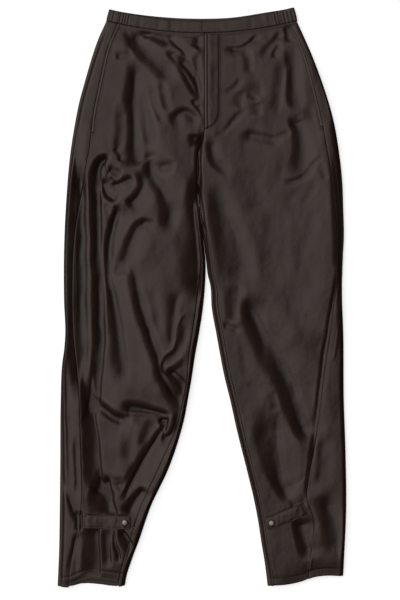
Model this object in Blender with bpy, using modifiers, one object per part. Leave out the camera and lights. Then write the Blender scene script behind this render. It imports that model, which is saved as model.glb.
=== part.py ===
"""Leather trousers lying flat, front side up.

Metres, +Z up. The waist points to +Y and the wearer's right leg lies at -X. The origin is on
the surface that the trousers lie on, under the middle of the garment. Sizes and tables are in
millimetres, and MM turns them into metres where a mesh is made.

The garment is made as a tailor makes it. Each back panel lies on the surface, bends up round
the outside of the leg to the outseam and round the inside to the inseam. Each front panel
closes the leg on top, between the two seams. Above the crotch the fronts meet at the centre
front and the backs at the centre back. One function, top_height, says how high the leather
stands anywhere on top, so that panels, straps and pocket edges fit each other.
"""

import math
from typing import NamedTuple

import bmesh
import bpy
import numpy as np
from mathutils import Vector

MM = 0.001

# Leather.
SINGLE = 1.2  # one layer of nappa
DOUBLE = 2.4  # folded leather: waistband, straps and turned-up hems
SEAM_GAP = 0.3  # between two panels at a seam
LYING_GAP = 0.6  # under a strap or a placket that lies on a panel

# How high the top leather stands.
RIM_HEIGHT = 7.0  # where a back panel bends over the side of the leg
RIM_RADIUS = RIM_HEIGHT / 2
LOFT = 14.0  # relaxed leather, well away from an edge
LOFT_REACH = 25.0  # distance from an edge over which it rises
LOWEST = 3.4  # the bottom of the deepest valley, clear of the back panel
VALLEY_SOFTNESS = 2.0
HEM_LOFT_SHARE = 0.4  # the leather stands this much lower at the hem than away from it
FOLD_REACH = 9.0  # folds reach their whole depth this far in from an edge
FOLD_DEPTH = 1.25  # what the folds' drops are multiplied by
FINEST_FLANK = 15.0  # no flank is narrower than this, about one column of a panel
SOFT_EDGE = 0.75  # share of a flank's width over which its upper and lower edge bend
SOFT_SKEW = 0.55  # how much a sharp crease takes from one edge's bend and gives to the other
FLANK_PLACES = np.linspace(-1.5, 1.5, 91)  # across a flank one wide
QUICK_SHARE = 0.3  # share of the drop that comes back close to the fold
SLOW_RISE = 8.0  # the rest comes back over this many times the drop
FOLD_TAPER = 0.7  # a fold has its whole depth where the sine of its share passes this
LEVELLED = 0.85  # share of the folds' broad level that is taken away again
LEVEL_PATCH = 30.0  # size of the patch over which that level is averaged
LEVEL_CELL = 6.0
LEVEL_HALF_WIDTH = 300.0
LEVEL_HALF_HEIGHT = 540.0

# Waist. The band's lower edge is a shallow bowl, low at the centre front.
BAND_FOOT = 476.0  # height of the band's lower edge at the centre
BAND_FOOT_RISE = 22.0  # how much higher it is at the sides
HALF_WAIST = 172.0
BAND_WIDTH = 21.5
BAND_EXTRA = 3.5  # the wearer's left side of the band is this much wider
BAND_HEIGHT = 8.0
BACK_WAIST_LIFT = 5.0  # the back of the waist lies this much higher up
BAND_SPLIT = 1.0  # where the two front bands meet, across
SIDE_SEAM = {"right": -152.5, "left": 143.5}
GATHER_START = 132.0  # elastic gathers from here to the side, across
GATHER_PITCH = 6.0
GATHER_DEPTH = 0.9
GATHER_FADE = 15.0  # the gathers reach their whole depth over this length
GATHER_STEP = 2.0  # columns of the band where it is gathered
GATHER_PAST = 8.0  # those columns go on this far past the gathers
PLAIN_STEP = 10.0  # and the first plain column follows at this distance
PLAIN_COLUMNS = 12
BEHIND_COLUMNS = 16

# Crotch, fly, pockets and hems.
CROTCH_TOP = 190.0  # above this height the two legs are one tube
CROTCH_END = 150.0  # below it each leg is a tube of its own
CROTCH_ROLLED = 105.0  # below it the back panel has rolled right over onto the top
SEAM_STAND = 3.5  # how far the back stands up past its bend at the crotch
LEGS_PARTED = 0.5  # half of the gap where the two legs touch
FLAT_INNER = 60.0  # back panel columns that bend below the crotch spread over this
WAIST_BEND_REACH = 120.0  # straight rows bend to the waistband over this length of the leg
HEM_BEND_REACH = 60.0  # and to the hem over this one
FLY_TOP = 474.0
FLY_END = 303.0
FLY_WIDTH = 29.0
FLY_CURVE = 34.0  # length of the curved end of the placket
POCKET_EDGE_WIDTH = 4.5
POCKET_END = {"right": 294.0, "left": 306.0}
HEM_TURN = 17.0  # leather turned up inside at the hem
STRAP_CALM = 20.0  # folds fade under a strap over this distance from it
FLY_CALM = 20.0
FLY_ROWS = 14
FLY_COLUMNS = 4
FLY_LEAST = 0.02  # keeps the placket's rounded end from closing to a point
STRAP_ROWS = 10
STRAP_COLUMNS = 4

# Snaps.
SNAP_RADIUS = 6.0
SNAP_HEIGHT = 2.8
SNAP_STEPS = 20

# Grid of the panels. A back panel's columns run from the outseam, under the leg, to the inseam.
ROW_STEP = 20.0
FRONT_COLUMNS = 18
INNER_COLUMNS = 6
OUTER_STRIP = slice(0, 3)
OUTER_BEND = slice(3, 6)
FLOOR = slice(6, 10)
INNER_STRIP = slice(13, 16)
PAST_FLOOR = slice(10, 16)


class Leg(NamedTuple):
    """Edges of one leg: rows of (height, across), and hems as rows of (across, height)."""

    name: str
    out: int
    outer: tuple
    outseam: tuple
    inner: tuple
    inseam_inset: tuple
    front_hem: tuple
    back_hem: tuple


RIGHT = Leg(
    name="right",
    out=-1,
    outer=(
        (520, -162),
        (492, -173),
        (463, -186),
        (427, -199),
        (391, -210),
        (355, -220),
        (310, -229),
        (265, -236),
        (175, -244),
        (85, -248),
        (-5, -248),
        (-69, -246),
        (-95, -248),
        (-116, -251),
        (-185, -254),
        (-300, -255),
        (-400, -256),
        (-455, -257),
        (-525, -260),
    ),
    outseam=(
        (520, -146),
        (490, -153),
        (467, -162),
        (433, -173),
        (397, -181),
        (328, -195),
        (264, -202),
        (222, -211),
        (172, -219),
        (120, -227),
        (0, -232),
        (-69, -230),
        (-120, -225),
        (-170, -220),
        (-256, -217),
        (-355, -215),
        (-392, -218),
        (-445, -229),
        (-502, -238),
        (-525, -239),
    ),
    inner=(
        (520, 5),
        (330, 5),
        (303, 5),
        (283, 0),
        (265, -5),
        (238, -8),
        (193, -6),
        (148, -2),
        (103, 3),
        (64, 7),
        (22, 6),
        (-28, 1),
        (-60, -4),
        (-111, -13),
        (-145, -18),
        (-179, -24),
        (-217, -31),
        (-251, -40),
        (-285, -51),
        (-316, -63),
        (-345, -77),
        (-372, -90),
        (-402, -101),
        (-435, -112),
        (-467, -124),
        (-505, -136),
        (-525, -139),
    ),
    inseam_inset=((105, 9), (60, 10), (0, 12), (-245, 12), (-300, 18), (-380, 18), (-525, 11)),
    front_hem=((-260, -520), (-239, -519), (-215, -509), (-198, -506), (-181, -508), (-138, -514)),
    back_hem=((-260, -519), (-241, -521), (-215, -515), (-189, -516), (-151, -520), (-137, -518)),
)

LEFT = Leg(
    name="left",
    out=1,
    outer=(
        (522, 161),
        (490, 174),
        (463, 186),
        (424, 203),
        (370, 223),
        (321, 237),
        (265, 247),
        (211, 253),
        (161, 255),
        (103, 256),
        (69, 254),
        (40, 253),
        (-5, 253),
        (-60, 255),
        (-185, 256),
        (-275, 259),
        (-393, 260),
        (-420, 259),
        (-460, 257),
        (-525, 254),
    ),
    outseam=(
        (522, 150),
        (492, 159),
        (462, 174),
        (419, 190),
        (370, 203),
        (309, 217),
        (265, 225),
        (222, 233),
        (181, 238),
        (120, 243),
        (64, 246),
        (31, 244),
        (-22, 236),
        (-77, 229),
        (-130, 221),
        (-193, 213),
        (-238, 207),
        (-278, 200),
        (-335, 191),
        (-364, 189),
        (-384, 197),
        (-402, 201),
        (-431, 200),
        (-458, 196),
        (-525, 190),
    ),
    inner=(
        (520, 5),
        (330, 5),
        (303, 5),
        (283, 0),
        (265, -5),
        (238, -8),
        (193, -6),
        (148, -2),
        (103, 3),
        (64, 8),
        (40, 11),
        (24, 15),
        (-19, 18),
        (-64, 26),
        (-103, 33),
        (-139, 40),
        (-184, 51),
        (-238, 63),
        (-310, 81),
        (-364, 94),
        (-400, 101),
        (-445, 108),
        (-490, 116),
        (-525, 121),
    ),
    inseam_inset=((105, 9), (60, 10), (0, 11), (-525, 11)),
    front_hem=((121, -518), (153, -516), (180, -510), (201, -502), (223, -499), (255, -500)),
    back_hem=((121, -519), (153, -517), (180, -511), (201, -503), (223, -500), (255, -501)),
)


class Fold(NamedTuple):
    """One fold: a flank that falls to the left of its route, and a rise back to the level."""

    name: str
    drop: float  # from the top of the flank to its foot
    flank: tuple  # width of the falling side at the route's start and end
    rise: float  # over which the quick part of the drop comes back
    crease: float  # 1 for a sharp foot, -1 for a sharp top, 0 for a fold that is soft at both
    route: tuple  # points (across, height) along the middle of the falling side


FOLDS = (
    Fold("pocket", 5.5, (10, 15), 13, 0.5,
         ((-126, 432), (-129, 400), (-131, 360), (-132, 310), (-131, 262), (-128, 238), (-117, 220))),
    Fold("pocket_hook", 4, (11, 10), 9, 0.3,
         ((-124, 232), (-114, 213), (-113, 200), (-120, 186), (-131, 174), (-140, 167))),
    Fold("hip", 5, (9, 14), 16, -0.5,
         ((-134, 474), (-121, 457), (-108, 438), (-94, 416), (-80, 397), (-62, 374))),
    Fold("hip_soft", 2.2, (10, 12), 13, 0,
         ((-117, 388), (-113, 350), (-109, 316), (-101, 286), (-95, 258))),
    Fold("fly_left", 3.8, (8, 7), 6, 0.4,
         ((-60, 455), (-58, 438), (-52, 420), (-43, 404), (-32, 387), (-18, 363), (-3, 337))),
    Fold("arch", 3.6, (8, 10), 11, 0.4,
         ((3, 318), (-7, 325), (-18, 333), (-30, 338), (-42, 334), (-52, 326), (-63, 319))),
    Fold("crotch_groove", 8, (6, 9), 4, 0.4,
         ((2, 312), (-4, 290), (-8, 265), (-9, 238), (-8, 200), (-6, 165), (-3, 130), (1, 95),
          (6, 50))),
    Fold("wedge", 4, (11, 4), 7, 0.5, ((-120, 220), (-134, 214), (-148, 208), (-168, 201))),
    Fold("thigh_outer", 5.2, (9, 14), 5, -0.2,
         ((-200, 224), (-198, 190), (-197, 150), (-196, 100), (-195, 50), (-195, 0), (-194, -50),
          (-194, -95), (-199, -135), (-207, -168))),
    Fold("thigh_side", 5, (11, 15), 9, 0.1,
         ((-165, 144), (-170, 114), (-175, 72), (-175, 35), (-170, 0), (-164, -42), (-157, -88),
          (-153, -128), (-152, -164))),
    Fold("thigh_middle", 4.6, (8, 13), 13, 0.3,
         ((-92, 276), (-97, 249), (-99, 228), (-94, 206), (-84, 184), (-76, 163), (-72, 142),
          (-74, 120), (-77, 103))),
    Fold("thigh_cross", 5, (6, 17), 14, 0.1,
         ((-83, 151), (-91, 141), (-106, 138), (-118, 131), (-127, 116), (-134, 100), (-144, 82),
          (-158, 61))),
    Fold("outer_upper", 3, (6, 16), 5, 0.2,
         ((-222, 300), (-226, 270), (-229, 240), (-231, 205), (-231, 160))),
    Fold("outer_lower", 8.5, (12, 27), 5, 0.9,
         ((-231, 225), (-231, 180), (-230, 130), (-228, 80), (-227, 30), (-226, -20), (-225, -75),
          (-226, -125), (-229, -170))),
    Fold("outer_foot", 7, (24, 20), 6, 0.8, ((-227, -110), (-228, -150), (-229, -185), (-228, -225))),
    Fold("inner_upper", 3.4, (8, 12), 6, 0.5, ((-13, 264), (-16, 235), (-19, 205), (-21, 178))),
    Fold("inner_lower", 6.2, (14, 26), 7, 0.6,
         ((-19, 212), (-22, 170), (-24, 125), (-25, 85), (-24, 45), (-21, 10), (-17, -22))),
    Fold("knee", 6.6, (11, 15), 11, 0.5,
         ((-135, 68), (-130, 44), (-122, 6), (-113, -28), (-103, -58), (-93, -92), (-82, -122),
          (-75, -145), (-61, -171), (-48, -196), (-46, -224))),
    Fold("knee_pocket", 3.6, (15, 7), 7, 0.4,
         ((-53, 16), (-57, -10), (-58, -45), (-58, -70), (-57, -92))),
    Fold("knee_inner", 3.4, (8, 9), 9, -0.3,
         ((-31, -38), (-36, -60), (-42, -80), (-52, -98), (-64, -110), (-68, -122), (-63, -136))),
    Fold("knee_low", 4, (7, 20), 6, -0.3, ((-67, -129), (-53, -146), (-42, -164), (-33, -192))),
    Fold("calf_back", 5, (10, 14), 9, 0.1,
         ((-116, -222), (-134, -216), (-152, -210), (-166, -199), (-180, -186), (-194, -176),
          (-212, -166))),
    Fold("calf_top", 5, (8, 14), 8, 0.6,
         ((-53, -220), (-62, -209), (-80, -201), (-98, -197), (-118, -193), (-136, -192),
          (-153, -198))),
    Fold("calf_step", 6.5, (8, 17), 5, 0.8,
         ((-61, -218), (-76, -236), (-90, -258), (-104, -280), (-117, -301), (-130, -324),
          (-143, -348), (-156, -372), (-165, -390))),
    Fold("calf_flap", 4.5, (8, 14), 9, 0.2, ((-105, -334), (-117, -351), (-130, -367), (-147, -388))),
    Fold("calf_ridge", 6, (14, 14), 11, -0.6,
         ((-213, -170), (-209, -210), (-204, -250), (-202, -290), (-200, -330), (-197, -365),
          (-195, -400))),
    Fold("rim_crease", 2.6, (5, 7), 8, 0.2,
         ((-253, -314), (-248, -343), (-240, -365), (-233, -387), (-228, -414))),
    Fold("pleat_3", 4.2, (8, 13), 6, 0.2, ((-156, -374), (-170, -362), (-184, -354), (-200, -345))),
    Fold("ankle", 6.5, (22, 15), 9, 0, ((-202, -412), (-202, -440), (-204, -470), (-206, -506))),
    Fold("ankle_patch", 4, (10, 15), 6, -0.5, ((-172, -420), (-178, -442), (-178, -458), (-174, -478))),
    Fold("left_hip", 2.8, (7, 9), 9, 0.3, ((143, 483), (133, 471), (122, 458), (111, 446), (99, 431))),
    Fold("left_pocket", 4.8, (9, 11), 15, -0.7,
         ((150, 458), (154, 430), (156, 400), (157, 370), (160, 348), (168, 329))),
    Fold("left_pocket_low", 4.8, (8, 19), 14, -0.5,
         ((155, 332), (160, 314), (166, 300), (167, 280), (168, 260), (164, 240), (151, 217))),
    Fold("left_cross", 3.4, (16, 9), 12, 0.3,
         ((148, 282), (128, 289), (110, 294), (90, 297), (70, 296), (50, 292))),
    Fold("left_crotch", 4, (8, 10), 9, -0.3,
         ((8, 294), (10, 272), (14, 252), (20, 238), (32, 226), (49, 208))),
    Fold("left_seat", 2.6, (6, 6), 7, 0.4,
         ((217, 259), (203, 247), (192, 236), (184, 223), (172, 214), (158, 212), (146, 217))),
    Fold("left_inner", 5.4, (9, 36), 20, -0.5,
         ((16, 212), (20, 175), (24, 140), (32, 105), (41, 70), (48, 35), (51, 0))),
    Fold("left_seam", 4.6, (10, 12), 4, 0.6,
         ((228, 270), (235, 225), (238, 185), (240, 145), (241, 105), (242, 65), (237, 25),
          (230, -10), (224, -50), (218, -85), (213, -120), (208, -160), (203, -200), (199, -245))),
    Fold("left_seam_low", 3.6, (10, 9), 4, 0.5,
         ((201, -222), (195, -262), (190, -300), (186, -335), (183, -360))),
    Fold("left_knee", 8, (13, 21), 15, 0.1,
         ((69, 10), (80, -24), (90, -64), (103, -95), (124, -130), (143, -164), (154, -195),
          (165, -226), (180, -253), (196, -274))),
    Fold("left_knee_cross", 2.3, (9, 9), 9, 0.1, ((133, -172), (115, -163), (100, -155), (84, -144))),
    Fold("left_calf", 5.6, (10, 20), 16, -0.5,
         ((106, -182), (103, -220), (107, -255), (116, -290), (125, -318), (137, -343), (150, -366),
          (162, -386))),
    Fold("left_back_low", 4.6, (12, 26), 10, 0,
         ((202, -356), (213, -377), (220, -400), (222, -425), (220, -450), (222, -480))),
    Fold("left_ankle", 6, (12, 14), 10, -0.3, ((165, -394), (170, -420), (176, -446), (182, -476))),
    Fold("left_hip_soft", 2.3, (12, 13), 8, 0,
         ((143, 438), (136, 408), (131, 378), (128, 350), (121, 330))),
    Fold("left_fly_diagonal", 2.6, (6, 6), 7, 0.4,
         ((81, 344), (68, 333), (56, 321), (45, 309), (33, 299), (18, 296))),
)


class Strap(NamedTuple):
    """An ankle strap from its root at the outseam to its free end, with its snap."""

    leg: Leg
    root: tuple
    tip: tuple
    width: float
    snap: tuple


STRAPS = (
    Strap(RIGHT, root=(-212, -402), tip=(-128, -404), width=24, snap=(-137, -404)),
    Strap(LEFT, root=(186, -379), tip=(116, -408), width=23, snap=(126, -405)),
)


# Curves and blends.


def along(rows, at):
    """The smooth curve through rows of (position, value), read at any positions."""
    position, value = np.array(sorted(rows), float).T
    slope = np.gradient(value, position)
    at = np.clip(at, position[0], position[-1])
    span = np.clip(np.searchsorted(position, at) - 1, 0, len(position) - 2)
    length = position[span + 1] - position[span]
    share = (at - position[span]) / length
    from_start = value[span] + share * length * slope[span]
    from_end = value[span + 1] - (1 - share) * length * slope[span + 1]
    start_pull = (1 - share) ** 2 * (value[span] * 2 * share + from_start)
    end_pull = share**2 * (value[span + 1] * 2 * (1 - share) + from_end)
    return start_pull + end_pull


def blend(value, start, end):
    """0 before start and 1 after end, smooth in between."""
    share = np.clip((value - start) / (end - start), 0, 1)
    return share * share * (3 - 2 * share)


def smooth_route(route, steps=6):
    """A curve through the route's points, as many short runs."""
    points = np.array(route, float)
    place = np.arange(len(points))
    fine = np.linspace(0, len(points) - 1, (len(points) - 1) * steps + 1)
    across = along(list(zip(place, points[:, 0])), fine)
    height = along(list(zip(place, points[:, 1])), fine)
    return np.stack([across, height], axis=1)


def route_frame(route, x, y):
    """For each place: how far it is to the left of the route, and its share of the way along."""
    nearest = np.full(x.shape, np.inf)
    side = np.zeros(x.shape)
    share = np.zeros(x.shape)
    for index in range(len(route) - 1):
        start = route[index]
        run = route[index + 1] - start
        from_x = x - start[0]
        from_y = y - start[1]
        part = np.clip((from_x * run[0] + from_y * run[1]) / (run @ run), 0, 1)
        away = np.hypot(from_x - part * run[0], from_y - part * run[1])
        closer = away < nearest
        nearest = np.where(closer, away, nearest)
        turn = np.sign(run[0] * from_y - run[1] * from_x)
        side = np.where(closer, away * turn, side)
        share = np.where(closer, (index + part) / (len(route) - 1), share)
    return side, share


# The height of the leather on top.


def band_foot(x):
    """Height up the garment of the waistband's lower edge."""
    return BAND_FOOT + BAND_FOOT_RISE * (x / HALF_WAIST) ** 2


def legs_apart(y):
    """0 where the legs are one tube, 1 where each is its own."""
    return 1 - blend(y, CROTCH_END, CROTCH_TOP)


def inner_edge(leg, y):
    """The leg's inner outline, which is the centre front above the crotch."""
    return along(leg.inner, y) + leg.out * LEGS_PARTED * legs_apart(y)


def inseam_roll(leg, y):
    """How far a back panel bends at the inner rim, and how far it goes on past the bend."""
    rolled = 1 - blend(y, CROTCH_ROLLED, CROTCH_END)
    past = along(leg.inseam_inset, y) - RIM_RADIUS
    return math.pi / 2 * (1 + rolled), SEAM_STAND + (past - SEAM_STAND) * rolled, rolled


def front_inset(leg, y):
    """How far in from the inner outline a front panel ends, clear of the back panel's wall."""
    turn, past, _ = inseam_roll(leg, y)
    tip = RIM_RADIUS * (1 - np.sin(turn)) - past * np.cos(turn)
    beside = tip + SINGLE * np.sin(turn) + SEAM_GAP
    return SEAM_GAP / 2 + (beside - SEAM_GAP / 2) * legs_apart(y)


def away_from(distance, reach):
    """0 at an edge, and 1 well away from it."""
    return 1 - np.exp(-((distance / reach) ** 2))


def fullness(leg, x, y, reach, hem_share):
    """0 at the edges of the leather and 1 well inside them."""
    outer = away_from(np.abs(along(leg.outer, y) - x), reach)
    inner = 1 - legs_apart(y) * (1 - away_from(np.abs(x - inner_edge(leg, y)), reach))
    waist = away_from(np.abs(band_foot(x) - y), reach)
    hem = 1 - hem_share * (1 - away_from(np.abs(y - along(leg.front_hem, x)), reach))
    return outer * inner * waist * hem


def calm(x, y):
    """1 where folds may run, 0 under the straps and the fly."""
    free = np.ones(x.shape)
    for strap in STRAPS:
        side, _ = route_frame(np.array([strap.root, strap.tip], float), x, y)
        free = free * blend(np.abs(side), strap.width / 2, strap.width / 2 + STRAP_CALM)
    fly_middle = BAND_SPLIT + FLY_WIDTH / 2
    past_fly = np.maximum(np.abs(x - fly_middle) - FLY_WIDTH / 2, FLY_END - y)
    return free * blend(past_fly, 0, FLY_CALM)


FOLD_ROUTES = [smooth_route(fold.route) for fold in FOLDS]


def falling(crease):
    """Share of the drop across a flank one wide, and where the flank ends."""
    above = SOFT_EDGE + SOFT_SKEW * crease
    below = SOFT_EDGE - SOFT_SKEW * crease
    begun = blend(FLANK_PLACES, -0.5 - above / 2, -0.5 + above / 2)
    ended = blend(FLANK_PLACES, 0.5 - below / 2, 0.5 + below / 2)
    slope = begun * (1 - ended)
    return np.cumsum(slope) / slope.sum(), 0.5 + below / 2


def profile(fold, side, share):
    """From 0 to 1: how far the leather has fallen at a distance from the route."""
    start, end = fold.flank
    width = np.maximum(start + (end - start) * share, FINEST_FLANK)
    fallen, foot = falling(fold.crease)
    fall = np.interp(side / width, FLANK_PLACES, fallen)
    past = side - foot * width
    quick = blend(past, 0, max(fold.rise, FINEST_FLANK))
    slow = blend(past, 0, SLOW_RISE * fold.drop)
    return fall * (1 - QUICK_SHARE * quick - (1 - QUICK_SHARE) * slow)


def fold_height(x, y):
    """The folds' heights together, each fading at its ends."""
    total = np.zeros(x.shape)
    for fold, route in zip(FOLDS, FOLD_ROUTES):
        side, share = route_frame(route, x, y)
        taper = blend(np.sin(math.pi * share), 0, FOLD_TAPER)
        total -= FOLD_DEPTH * fold.drop * profile(fold, side, share) * taper
    return total


def broad_level():
    """The folds' height averaged over a broad patch, on a grid from its lower left corner."""
    across = np.arange(-LEVEL_HALF_WIDTH, LEVEL_HALF_WIDTH + LEVEL_CELL, LEVEL_CELL)
    height = np.arange(-LEVEL_HALF_HEIGHT, LEVEL_HALF_HEIGHT + LEVEL_CELL, LEVEL_CELL)
    level = fold_height(*np.meshgrid(across, height))
    reach = np.arange(-3 * LEVEL_PATCH, 3 * LEVEL_PATCH + LEVEL_CELL, LEVEL_CELL)
    weight = np.exp(-((reach / LEVEL_PATCH) ** 2) / 2)
    weight /= weight.sum()
    for axis in (0, 1):
        level = np.apply_along_axis(np.convolve, axis, level, weight, mode="same")
    return level


LEVEL = broad_level()


def level_at(x, y):
    """The broad level at any places."""
    last_row, last_column = (size - 1 for size in LEVEL.shape)
    column = np.clip((x + LEVEL_HALF_WIDTH) / LEVEL_CELL, 0, last_column)
    row = np.clip((y + LEVEL_HALF_HEIGHT) / LEVEL_CELL, 0, last_row)
    left = np.minimum(column.astype(int), last_column - 1)
    below = np.minimum(row.astype(int), last_row - 1)
    share_x = column - left
    share_y = row - below
    low = LEVEL[below, left] * (1 - share_x) + LEVEL[below, left + 1] * share_x
    high = LEVEL[below + 1, left] * (1 - share_x) + LEVEL[below + 1, left + 1] * share_x
    return low * (1 - share_y) + high * share_y


def top_height(leg, x, y):
    """Height of the outer face of the leather on top of a leg."""
    rise = fullness(leg, x, y, LOFT_REACH, HEM_LOFT_SHARE)
    window = fullness(leg, x, y, FOLD_REACH, 1)
    folds = (fold_height(x, y) - LEVELLED * level_at(x, y)) * calm(x, y) * window
    above = RIM_HEIGHT + (LOFT - RIM_HEIGHT) * rise + folds - LOWEST
    return LOWEST + (above + np.sqrt(above**2 + VALLEY_SOFTNESS**2)) / 2


def top_face(leg, x, y):
    """Points on the outer face of the top leather, and the directions out of it."""
    step = 1.0
    slope_x = (top_height(leg, x + step, y) - top_height(leg, x - step, y)) / (2 * step)
    slope_y = (top_height(leg, x, y + step) - top_height(leg, x, y - step)) / (2 * step)
    out = np.stack([-slope_x, -slope_y, np.ones(x.shape)], axis=-1)
    out /= np.linalg.norm(out, axis=-1, keepdims=True)
    return np.stack([x, y, top_height(leg, x, y)], axis=-1), out


# Rows down a leg, shared by its front and back panels so that their seams match.


def leg_rows(leg):
    """Heights of the rows at the outseam, with two rows for the turned-up hem."""
    top = band_foot(along(leg.outseam, BAND_FOOT)) - SEAM_GAP
    hem = along(leg.front_hem, along(leg.outseam, -525.0))
    count = round((top - hem - HEM_TURN) / ROW_STEP)
    body = np.linspace(top, hem + HEM_TURN + 1, count)
    return np.concatenate([body, hem + HEM_TURN * np.array([1, 0.5, 0])])


def follow_ends(leg, x, row, hem, lift=0.0):
    """Bend straight rows to the waistband at one end of the leg and to the hem at the other."""
    top = row.max()
    bottom = row.min()
    to_waist = band_foot(x) - SEAM_GAP + lift - top
    to_hem = along(hem, x) - bottom
    near_waist = np.clip(1 - (top - row) / WAIST_BEND_REACH, 0, 1) ** 2
    near_hem = np.clip(1 - (row - bottom) / HEM_BEND_REACH, 0, 1) ** 2
    return row + to_waist * near_waist + to_hem * near_hem


def wall_of(row):
    """Thickness down a leg: double where the hem is turned up."""
    in_hem = row < row.min() + HEM_TURN + 0.5
    return np.where(in_hem, DOUBLE, SINGLE)


def front_panel(leg):
    """Outer points, directions out and wall of a front panel."""
    row = leg_rows(leg)[:, None]
    start = along(leg.outseam, row) - leg.out * SEAM_GAP / 2
    end = inner_edge(leg, row) + leg.out * front_inset(leg, row)
    first = POCKET_EDGE_WIDTH / np.abs(end - start)
    even = np.linspace(0, 1, FRONT_COLUMNS)[None, :]
    share = np.concatenate([0 * first, first + (1 - first) * even], axis=1)
    x = start + (end - start) * share
    y = follow_ends(leg, x, row + 0 * x, leg.front_hem)
    points, out = top_face(leg, x, y)
    return points, out, wall_of(row) + 0 * x


def grid_out(points, floor):
    """Directions out of a grid of points, whose floor columns face down."""
    out = np.cross(np.gradient(points, axis=0), np.gradient(points, axis=1))
    out *= -np.sign(out[:, floor, 2].mean())
    return out / np.linalg.norm(out, axis=-1, keepdims=True)


def back_panel(leg):
    """Outer points, directions out and wall of a back panel, from outseam round to inseam."""
    row = leg_rows(leg)[:, None]
    apart = legs_apart(row)
    inner = inner_edge(leg, row)
    seam = along(leg.outseam, row) + leg.out * SEAM_GAP / 2
    bend = along(leg.outer, row) - leg.out * RIM_RADIUS
    flat_bend = inner + leg.out * FLAT_INNER
    floor_end = flat_bend + (inner + leg.out * RIM_RADIUS - flat_bend) * apart

    # Round the inner rim: an arc in four steps, then straight on to the inseam in two.
    turn, past, rolled = inseam_roll(leg, row)
    angle = turn * np.array([0.25, 0.5, 0.75, 1, 1, 1])[None, :]
    straight = past * np.array([0, 0, 0, 0, 0.5, 1])[None, :]
    rolled_in = RIM_RADIUS * (1 - np.sin(angle)) - straight * np.cos(angle)
    rolled_up = RIM_RADIUS * (1 - np.cos(angle)) + straight * np.sin(angle)
    # Above the crotch the same columns lie flat, up to the centre back.
    flat_in = np.linspace(FLAT_INNER, SEAM_GAP / 2, INNER_COLUMNS + 1)[None, 1:]
    round_inner = inner + leg.out * (flat_in + (rolled_in - flat_in) * apart)

    outer_angle = np.array([0.25, 0, -0.25])[None, :] * math.pi
    outer_strip = seam + (bend - seam) * np.linspace(0, 1, 3)[None, :]
    outer_bend = bend + leg.out * RIM_RADIUS * np.cos(outer_angle)
    floor = bend + (floor_end - bend) * np.linspace(0, 1, 4)[None, :]
    x = np.concatenate([outer_strip, outer_bend, floor, round_inner], axis=1)
    lift = BACK_WAIST_LIFT * (1 - (x / HALF_WAIST) ** 2)
    lift[:, : FLOOR.start] = 0
    y = follow_ends(leg, x, row + 0 * x, leg.back_hem, lift)

    top, top_out = top_face(leg, x, y)
    z = np.zeros(x.shape)
    z[:, OUTER_STRIP] = top[:, OUTER_STRIP, 2]
    z[:, OUTER_BEND] = RIM_RADIUS * (1 + np.sin(outer_angle))
    z[:, PAST_FLOOR] = rolled_up * apart
    z[:, INNER_STRIP] += (top[:, INNER_STRIP, 2] - RIM_HEIGHT) * rolled
    points = np.stack([x, y, z], axis=-1)
    out = grid_out(points, FLOOR)
    out[:, FLOOR] = (0, 0, -1)
    out[:, OUTER_STRIP] = top_out[:, OUTER_STRIP]
    over = rolled[:, 0] == 1
    out[over, INNER_STRIP] = top_out[over, INNER_STRIP]
    return points, out, wall_of(row) + 0 * x


# Waistband.


def band_edges(x, lift=0.0):
    """Lower and upper edge of the band at each place along it."""
    slope = 2 * BAND_FOOT_RISE * x / HALF_WAIST**2
    width = BAND_WIDTH + BAND_EXTRA * blend(x, 40, 130)
    length = np.hypot(1, slope)
    foot = np.stack([x, band_foot(x) + lift], axis=-1)
    return foot, foot + np.stack([-slope, 0 * x + 1], axis=-1) * (width / length)[..., None]


def gathers(x):
    depth = GATHER_DEPTH * blend(np.abs(x), GATHER_START, GATHER_START + GATHER_FADE)
    return depth * np.sin(x / GATHER_PITCH * 2 * math.pi)


def band_strip(x, z, out_x, out_z, lift, ripple):
    """Outer points and directions out of a piece of waistband whose section is x and z."""
    foot, head = band_edges(x, lift)
    share = np.linspace(0, 1, 3)[:, None, None]
    flat = foot[None] + (head - foot)[None] * share
    rows = (3, len(x))
    out = np.stack([out_x + np.zeros(rows), np.zeros(rows), out_z + np.zeros(rows)], axis=-1)
    points = np.concatenate([flat, (z + np.zeros(rows))[..., None]], axis=-1)
    return points + out * (ripple + np.zeros(rows))[..., None], out, points


def front_band(name):
    """A front piece of the band, from the side seam to the centre front."""
    side = SIDE_SEAM[name]
    toward = -np.sign(side)
    gathered = np.arange(0, abs(side) - GATHER_START + GATHER_PAST, GATHER_STEP)
    middle = abs(side - BAND_SPLIT) - SEAM_GAP
    plain = np.linspace(gathered[-1] + PLAIN_STEP, middle, PLAIN_COLUMNS)
    reach = np.concatenate([gathered, plain]) + SEAM_GAP / 2
    x = side + toward * reach
    return band_strip(x, BAND_HEIGHT + 0 * x, 0 * x, 1 + 0 * x, 0, gathers(x))


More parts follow.
